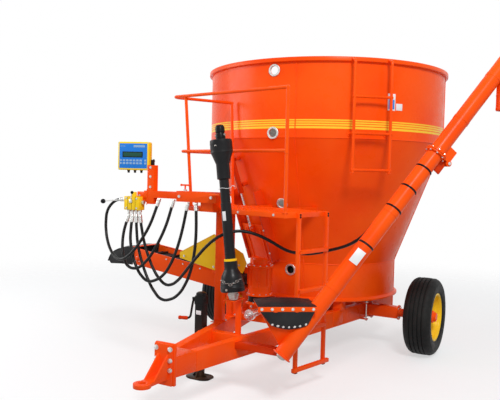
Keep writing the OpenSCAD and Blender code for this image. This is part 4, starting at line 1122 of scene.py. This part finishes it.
def make_drive_shaft():
    bm = bmesh.new()
    l = PTO_L
    add_turned(bm, [(0.070, 0.0), (0.092, 0.002), (0.095, 0.010), (0.093, 0.030), (0.096, 0.034), (0.094, 0.040), (0.089, 0.060),
                    (0.091, 0.064), (0.087, 0.072), (0.084, 0.095), (0.080, 0.118), (0.070, 0.140), (0.056, 0.165),
                    (0.050, 0.180), (0.050, 0.236), (0.047, 0.240)], PTO, 0, 64, thick=-0.004)
    add_turned(bm, [(0.043, 0.236), (0.052, 0.236), (0.053, 0.246), (0.051, 0.256), (0.043, 0.258)], PTO, 2, 48, closed=True)
    add_turned(bm, [(0.042, 0.236), (0.042, 0.70), (0.039, 0.704), (0.039, l - 0.330)], PTO, 0, 48)
    for k in range(7):
        add_turned(bm, [(0.0415, 0.30 + 0.055 * k), (0.0430, 0.302 + 0.055 * k), (0.0430, 0.306 + 0.055 * k),
                        (0.0415, 0.308 + 0.055 * k)], PTO, 0, 48)
    add_turned(bm, [(0.040, l - 0.332), (0.050, l - 0.328), (0.050, l - 0.212), (0.056, l - 0.195), (0.072, l - 0.150), (0.084, l - 0.122),
                    (0.087, l - 0.118), (0.085, l - 0.096), (0.087, l - 0.088), (0.085, l - 0.060), (0.087, l - 0.052),
                    (0.084, l - 0.022), (0.080, l - 0.020)], PTO, 0, 64, thick=-0.004)
    add_turned(bm, [(0.0, l - 0.070), (0.036, l - 0.070), (0.040, l - 0.020), (0.040, l + 0.018), (0.034, l + 0.040), (0.0, l + 0.040)],
               PTO, 4, 32)
    add_turned(bm, [(0.0176, l + 0.038), (0.030, l + 0.038), (0.038, l + 0.044), (0.038, l + 0.078), (0.034, l + 0.090),
                    (0.028, l + 0.100), (0.0176, l + 0.100)], PTO, 4, 48, closed=True)
    for k in range(6):
        turn = math.tau * k / 6
        add_block(bm, (0.0165 * math.cos(turn), 0.0165 * math.sin(turn), l + 0.069), (0.006, 0.006, 0.058), 0.001, PTO, 4)
    add_rod(bm, (-0.046, 0, l + 0.020), (0.046, 0, l + 0.020), 0.012, PTO, 1, 24, 0.002)
    add_turned(bm, [(0.0, -0.070), (0.030, -0.070), (0.036, -0.060), (0.040, -0.046), (0.040, 0.004), (0.034, 0.030), (0.0, 0.034)],
               PTO, 1, 40)
    add_rod(bm, (-0.046, 0, -0.030), (0.046, 0, -0.030), 0.013, PTO, 1, 24, 0.002)
    for side in (-1, 1):
        add_rod(bm, (0.0, side * 0.0935, 0.020), (0.0, side * 0.099, 0.020), 0.010, PTO, 1, 20, 0.001)
        add_rod(bm, (0.0, side * 0.0850, l - 0.070), (0.0, side * 0.0895, l - 0.070), 0.010, PTO, 1, 20, 0.001)
    for k in range(7):
        turn = -0.9 + 0.30 * k
        place = (0.0955 * math.cos(turn - 1.2), 0.0955 * math.sin(turn - 1.2), 0.060 + 0.030 * abs(k - 3) * 0.4)
        link = bmesh.new()
        bmesh.ops.create_circle(link, cap_ends=False, segments=8, radius=0.0016)
        bmesh.ops.rotate(link, verts=link.verts, cent=(0, 0, 0), matrix=Matrix.Rotation(math.radians(90), 3, "X"))
        bmesh.ops.translate(link, verts=link.verts, vec=(0.008, 0, 0))
        bmesh.ops.spin(link, geom=link.verts[:] + link.edges[:], cent=(0, 0, 0), axis=(0, 0, 1), dvec=(0, 0, 0),
                       angle=math.tau, steps=16, use_merge=True)
        bmesh.ops.scale(link, verts=link.verts, vec=(1.0, 1.7, 1.0))
        joined(bm, link, PTO @ Matrix.Translation(place) @ Matrix.Rotation(turn - 1.2, 4, "Z")
               @ Matrix.Rotation(math.radians(90 * (k % 2)), 4, "Y"), 1)
    wire = [(0.0465 * math.cos(math.tau * k / 24), 0.0465 * math.sin(math.tau * k / 24), 0.820 + 0.004 * math.sin(math.tau * k / 8))
            for k in range(25)]
    add_bar(bm, wire, 0.0022, PTO, 3)
    add_bar(bm, [wire[-1], (0.062, -0.014, 0.815), (0.085, -0.020, 0.838), (0.115, -0.034, 0.826)], 0.0022, PTO, 3, reach=0.01)
    add_block(bm, (0.0, -0.0415, 0.600), (0.030, 0.003, 0.075), 0.001, PTO, 3)
    shown("stowed_drive_shaft", bm, [guard_plastic, worn_steel, yellow_paint, white_plate, black_paint], stands_for=["pto_shaft"],
          slot="pto_guard")


make_drive_shaft()


# Gearbox on the drawbar and the input shaft

def make_drive_box():
    bm = bmesh.new()
    at = placed((-0.090, -1.230, 0.0))
    add_turned(bm, [(0.0, 0.550), (0.125, 0.550), (0.125, 0.564), (0.100, 0.567)], at, 0, 64)
    add_turned(bm, [(0.098, 0.566), (0.102, 0.570), (0.102, 0.618), (0.098, 0.624)], at, 2, 64)
    add_turned(bm, [(0.100, 0.622), (0.118, 0.624), (0.118, 0.640), (0.106, 0.643), (0.106, 0.700), (0.108, 0.706), (0.106, 0.712),
                    (0.106, 0.876), (0.112, 0.880), (0.122, 0.883), (0.122, 0.900), (0.106, 0.904), (0.072, 0.908),
                    (0.068, 0.914), (0.068, 0.950), (0.060, 0.962), (0.0, 0.962)], at, 0, 64)
    bolt_circle(bm, 12, 0.112, 0.902, 0.0065, at, 1)
    bolt_circle(bm, 12, 0.111, 0.641, 0.0055, at, 1)
    bolt_circle(bm, 8, 0.112, 0.565, 0.0065, at, 1)
    for k in range(8):
        turn = Matrix.Rotation(math.tau * (k + 0.5) / 8, 4, "Z")
        add_plate(bm, [(0.104, 0.712), (0.117, 0.722), (0.117, 0.868), (0.104, 0.878)], 0.008, at @ turn @ placed((0, 0.004, 0), x=90))
    add_block(bm, (-0.090, -1.230, 0.495), (0.150, 0.120, 0.110), 0.006)
    add_block(bm, (0.0, -1.230, BEAM_TOP_Z - 0.030), (2 * beam_x(-1.230) - 0.064, 0.100, 0.060), 0.004)
    for side in (-1, 1):
        add_bolt(bm, (-0.090 + side * 0.050, -1.2905, 0.520), (0, -1, 0), 0.009, tint=1)
        add_bolt(bm, (-0.090 + side * 0.050, -1.2905, 0.470), (0, -1, 0), 0.009, tint=1)
    shown("upright_drive_box", bm, [orange_paint, zinc, black_paint], stands_for=["drive_gearbox"], slot="paint")

    shaft = bmesh.new()
    at = placed((0, -1.640, 0.510), x=-90)
    add_turned(shaft, [(0.0, 0.0), (0.013, 0.0), (0.0150, 0.002), (0.0150, 0.060), (0.046, 0.060), (0.048, 0.063), (0.048, 0.097),
                       (0.046, 0.100), (0.030, 0.102), (0.030, 0.349), (0.0, 0.349)], at, 0, 40)
    for k in range(6):
        turn = Matrix.Rotation(math.tau * k / 6, 4, "Z")
        add_block(shaft, (0.0152, 0, 0.032), (0.0044, 0.0075, 0.056), 0.0006, at @ turn)
    bolt_circle(shaft, 4, 0.038, 0.098, 0.0055, at)
    shown("splined_input_shaft", shaft, [bright_steel], body="input_shaft", stands_for=["input_shaft"], slot="steel")


make_drive_box()


# Discharge door and conveyor

def make_discharge():
    jamb = from_frame("door_frame", 0.002)
    for side in (-1, 1):
        for z in (0.12, 0.36, 0.60):
            add_bolt(jamb, (side * 0.187, 0.0745, z), (0, 1, 0), 0.007, DOOR, 1)
    # The door guides take the darker copy of the orange paint: painted shade under the tub.
    shown("door_guides", jamb, [painted_shade_orange, zinc], stands_for=["door_frame"], slot="deep_paint")

    door = bmesh.new()
    add_block(door, (0, 0.049, 0.200), (0.340, 0.010, 0.400), 0.0015, DOOR)
    for x in (-0.110, 0.110):
        add_block(door, (x, 0.0575, 0.190), (0.016, 0.009, 0.340), 0.002, DOOR)
    add_block(door, (0, 0.0575, 0.030), (0.300, 0.009, 0.016), 0.002, DOOR)
    for x in (-0.022, 0.022):
        add_block(door, (x, 0.079, 0.370), (0.012, 0.050, 0.060), 0.002, DOOR)
    add_rod(door, (-0.030, 0.079, 0.380), (0.030, 0.079, 0.380), 0.009, DOOR, 1, 20, 0.001)
    add_rod(door, (0, 0.079, 0.362), (0, 0.079, 0.402), 0.016, DOOR, 1, 24, 0.002)
    add_rod(door, (0, 0.079, 0.400), (0, 0.079, 0.790), 0.011, DOOR, 1, 28)
    shown("sliding_door_plate", door, [orange_paint, bright_steel], body="discharge_door",
          stands_for=["discharge_door"], slot="paint")

    trough = from_frame("conveyor", 0.002)
    for side in (-1, 1):
        add_block(trough, (CONVEYOR_L / 2 - 0.02, side * 0.193, 0.1615), (CONVEYOR_L - 0.06, 0.012, 0.005), 0.0015, CONVEYOR)
        for x in (0.060, CONVEYOR_L - 0.060):
            place = CONVEYOR @ facing((x, side * 0.2045, 0.062), (0, side, 0))
            add_turned(trough, [(0.0, 0.0), (0.034, 0.0), (0.034, 0.006), (0.020, 0.010), (0.019, 0.018), (0.0, 0.019)], place, 0, 32)
            bolt_circle(trough, 4, 0.027, 0.006, 0.0045, place, 1, 45)
        for k in range(5):
            add_bolt(trough, (0.20 + 0.20 * k, side * 0.2045, 0.135), (0, side, 0), 0.006, CONVEYOR, 1)
    shown("conveyor_trough", trough, [orange_paint, zinc], stands_for=["conveyor"], slot="paint")

    belt = from_frame("conveyor_belt", 0.0)
    for k in range(7):
        add_block(belt, (0.13 + 0.155 * k, 0, 0.113), (0.010, 0.350, 0.020), 0.003, CONVEYOR)
    shown("cleated_belt", belt, [sheet_rubber], stands_for=["conveyor_belt"], slot="rubber")

    flap = bmesh.new()
    outline = [(0.0, 0.167), (0.060, 0.163), (0.140, 0.149), (0.215, 0.120), (0.270, 0.091), (0.305, 0.045), (0.326, -0.024)]
    flap_rows = eased([Vector((x, 0.0, z)) for x, z in outline], 0.03, 4)
    count = len(flap_rows)
    bmesh.ops.create_grid(flap, x_segments=count - 1, y_segments=14, size=0.5)
    for vert in flap.verts:
        along = flap_rows[min(count - 1, round((vert.co.x + 0.5) * (count - 1)))]
        across = vert.co.y
        droop = 0.012 * (2 * across) ** 2 + 0.006 * math.sin(9.0 * across + 14.0 * along.x)
        vert.co = Vector((CONVEYOR_L + along.x, across * 0.424, along.z - droop * min(1.0, along.x * 5)))
    bmesh.ops.recalc_face_normals(flap, faces=flap.faces)
    bmesh.ops.solidify(flap, geom=flap.faces[:], thickness=0.008)
    rubber = bmesh.new()
    joined(rubber, flap, CONVEYOR)
    for side in (-1, 1):
        cheek = [(0.0, -0.010), (0.150, -0.032), (0.280, -0.058), (0.312, -0.030), (0.296, 0.040), (0.256, 0.084), (0.200, 0.118),
                 (0.130, 0.142), (0.060, 0.155), (0.0, 0.157)]
        add_plate(rubber, cheek, 0.006, CONVEYOR @ placed((CONVEYOR_L, side * 0.207 + 0.003, 0.0), x=90), 0, 0.001)
    add_block(rubber, (CONVEYOR_L + 0.012, 0, 0.1700), (0.030, 0.410, 0.006), 0.0015, CONVEYOR, 1)
    for k in range(6):
        add_bolt(rubber, (CONVEYOR_L + 0.012, -0.175 + 0.070 * k, 0.172), (0, 0, 1), 0.0055, CONVEYOR, 2)
    shown("rubber_deflector", rubber, [sheet_rubber, orange_paint, zinc], stands_for=["conveyor_flap"], slot="rubber")

    guard = bmesh.new()
    corners = [(-0.890, 0.912), (-0.890, 0.968), (-0.506, 1.167), (-0.190, 1.010), (-0.150, 0.920), (-0.190, 0.830), (-0.500, 0.830)]
    add_plate(guard, corners, 0.004, placed((0, -1.370, 0), x=90), 0, 0.0012)
    add_block(guard, (-0.505, -1.362, 0.970), (0.040, 0.016, 0.340), 0.002, tint=1)
    for x, z in ((-0.505, 0.860), (-0.505, 1.100), (-0.230, 0.900), (-0.840, 0.935)):
        add_bolt(guard, (x, -1.3745, z), (0, -1, 0), 0.008, tint=2)
    add_bar(guard, [(-0.885, -1.372, 0.968), (-0.506, -1.372, 1.164), (-0.192, -1.372, 1.008)], 0.0035)
    shown("conveyor_side_guard", guard, [yellow_paint, orange_paint, zinc], stands_for=["guard_sheet"], slot="yellow_paint")


make_discharge()


# Grain auger

def make_grain_auger():
    low = bmesh.new()
    add_turned(low, [(0.0, -0.074), (0.060, -0.074), (0.076, -0.070), (0.076, -0.060), (0.064, -0.058), (0.064, 1.888),
                     (0.070, 1.890), (0.086, 1.890), (0.086, 1.900), (0.060, 1.900), (0.060, 1.500), (0.0, 1.500)], TUBE, 0, 64)
    bolt_circle(low, 6, 0.068, -0.066, 0.0045, TUBE, 0, up=-1.0)
    bolt_circle(low, 8, 0.0765, 1.889, 0.0065, TUBE, 1, 22.5, up=-1.0)
    add_turned(low, [(0.0, -0.072), (0.040, -0.072), (0.038, -0.080), (0.024, -0.090), (0.0, -0.094)], TUBE, 4, 32)
    for z in (0.560, 1.300):
        add_turned(low, [(0.0638, z - 0.016), (0.0665, z - 0.014), (0.0665, z + 0.014), (0.0638, z + 0.016)], TUBE, 0, 64)
    for x in (-0.0645,):
        add_bar(low, [(x, 0.010, 0.60), (x, 0.010, 1.86)], 0.0030, TUBE)
    add_block(low, (0.0, -0.0642, 0.86), (0.072, 0.0022, 0.120), 0.0006, TUBE @ Matrix.Rotation(math.radians(-24), 4, "Z"), 3)
    shown("auger_tube_lower", low, [orange_paint, zinc, bright_steel, white_plate, worn_steel], stands_for=["tube_lower"], slot="paint")

    clips = bmesh.new()
    for z in (0.98, 1.34, 1.54, 1.74):
        add_turned(clips, [(0.0640, z - 0.008), (0.0662, z - 0.007), (0.0662, z + 0.007), (0.0640, z + 0.008)], TUBE, 0, 64)
        if z > 1.0:
            # the strap also holds the long hose, which lies on the tube's rear side
            turns = [math.radians(141 + 6 * k) for k in range(44)]
            strap = [(0.0680 * math.cos(turn), 0.0680 * math.sin(turn), z) for turn in turns]
            turns = [math.radians(39 + 6 * k) for k in range(18)]
            strap += [(0.0170 * math.cos(turn), 0.0800 + 0.0170 * math.sin(turn), z) for turn in turns]
            add_bar(clips, strap + strap[:1], 0.0028, TUBE)
    shown("auger_tube_clips", clips, [black_paint], slot="black_paint")

    up = from_frame("tube_upper", 0.0)
    bolt_circle(up, 8, 0.0765, 1.9155, 0.0065, TUBE, 1, 22.5)
    for z in (2.25, 2.70):
        add_turned(up, [(0.0638, z - 0.016), (0.0665, z - 0.014), (0.0665, z + 0.014), (0.0638, z + 0.016)], TUBE, 0, 64)
    add_turned(up, [(0.0, 3.055), (0.050, 3.0545), (0.0655, 3.046), (0.0655, 3.036), (0.0638, 3.034)], TUBE, 0, 64)
    shown("auger_tube_upper", up, [orange_paint, zinc], body="upper_tube", stands_for=["tube_upper"], slot="paint", smooth=25)

    spout = from_frame("spout", 0.0)
    tip = TUBE @ Vector((0, 0, 2.915))
    for drop in (0.405, 0.300):
        add_turned(spout, [(0.0798, -drop - 0.010), (0.0815, -drop - 0.008), (0.0815, -drop + 0.008), (0.0798, -drop + 0.010)],
                   placed(tip), 0, 64)
    shown("discharge_spout", spout, [orange_paint], body="upper_tube", stands_for=["spout"], slot="paint", smooth=25)

    ears = from_frame("tube_brackets", 0.002)
    add_rod(ears, (0.124, -0.050, 1.905), (0.124, 0.050, 1.905), 0.0078, TUBE, 1, 24, 0.001)
    for side in (-1, 1):
        add_rod(ears, (0.124, side * 0.045, 1.905), (0.124, side * 0.049, 1.905), 0.013, TUBE, 1, 24, 0.001)
    # The brackets take the darker copy of the orange paint: painted shade where the tube meets the tub.
    shown("auger_brackets", ears, [painted_shade_orange, zinc], stands_for=["tube_brackets"], slot="deep_paint")


def make_hopper():
    box = from_frame("hopper", 0.0015)
    add_block(box, (0.0, -0.1545, 0.236), (0.436, 0.008, 0.040), 0.0015, HOPPER)
    bolts = [(-0.190 + 0.076 * k, -0.1590, 0.240) for k in range(6)]
    for spot in bolts:
        add_bolt(box, spot, (0, -1, 0), 0.0085, HOPPER, 1)
    shown("auger_hopper", box, [orange_paint, zinc], stands_for=["hopper"], slot="paint")

    cover = bmesh.new()
    bmesh.ops.create_grid(cover, x_segments=28, y_segments=20, size=0.5)
    for vert in cover.verts:
        u, v = 2 * vert.co.x, 2 * vert.co.y
        crown = (1 - abs(u) ** 2.6) * (1 - abs(v) ** 2.6)
        ripple = 0.0022 * math.sin(5.0 * u + 1.3) * math.cos(4.0 * v)
        vert.co = Vector((0.2165 * u, 0.1515 * v, 0.2585 + 0.030 * crown + ripple * (1 - v * v)))
    bmesh.ops.recalc_face_normals(cover, faces=cover.faces)
    bmesh.ops.solidify(cover, geom=cover.faces[:], thickness=0.005)
    top = bmesh.new()
    joined(top, cover, HOPPER)
    hole = bmesh.new()
    add_rod(hole, (0, 0, -0.06), (0, 0, 1.2), 0.067, TUBE, sides=48)
    top = without(top, [hole])
    flap = bmesh.new()
    bmesh.ops.create_grid(flap, x_segments=26, y_segments=10, size=0.5)
    for vert in flap.verts:
        u, v = 2 * vert.co.x, vert.co.y + 0.5
        low_edge = 0.085 + 0.035 * u * u
        bulge = 0.010 * math.sin(math.pi * v) * (1 - u * u) + 0.002 * math.sin(8 * u + 2)
        wall_y = -0.1505 + (0.222 - (0.222 + (low_edge - 0.222) * (1 - v))) * 0.29
        vert.co = Vector((0.020 * (1 - v) + u * (0.200 - 0.062 * (1 - v)), wall_y - 0.006 - bulge, low_edge + (0.222 - low_edge) * v))
    bmesh.ops.recalc_face_normals(flap, faces=flap.faces)
    bmesh.ops.solidify(flap, geom=flap.faces[:], thickness=0.004)
    joined(top, flap, HOPPER)
    for k in range(7):
        u = -0.84 + 0.28 * k
        low_edge = 0.085 + 0.035 * u * u
        v = 0.14
        spot = (0.020 * (1 - v) + u * (0.200 - 0.062 * (1 - v)),
                -0.1505 + (0.222 - (0.222 + (low_edge - 0.222) * (1 - v))) * 0.29 - 0.011, low_edge + (0.222 - low_edge) * v)
        add_bolt(top, spot, (0, -1, -0.3), 0.0085, HOPPER, 1)
    shown("hopper_rubber_cover", top, [sheet_rubber, zinc], stands_for=["hopper_cover"], slot="rubber", smooth=50)


make_grain_auger()
make_hopper()


# Blank plates on the tub's side

def make_plates():
    bm = bmesh.new()
    for turn, z, wide, high, tint in ((-38.6, 2.405, 0.080, 0.150, 0), (-38.6, 2.385, 0.062, 0.086, 1),
                                      (-34.6, 2.365, 0.070, 0.060, 0)):
        at = Matrix.Rotation(math.radians(turn), 4, "Z") @ placed((TUB_R + (0.0012 if tint else 0.0004), 0, z), y=90)
        add_block(bm, (0, 0, 0), (high, wide, 0.0016), 0.0005, at, tint)
    shown("blank_plates", bm, [white_plate, blue_plate], slot="paint")


make_plates()
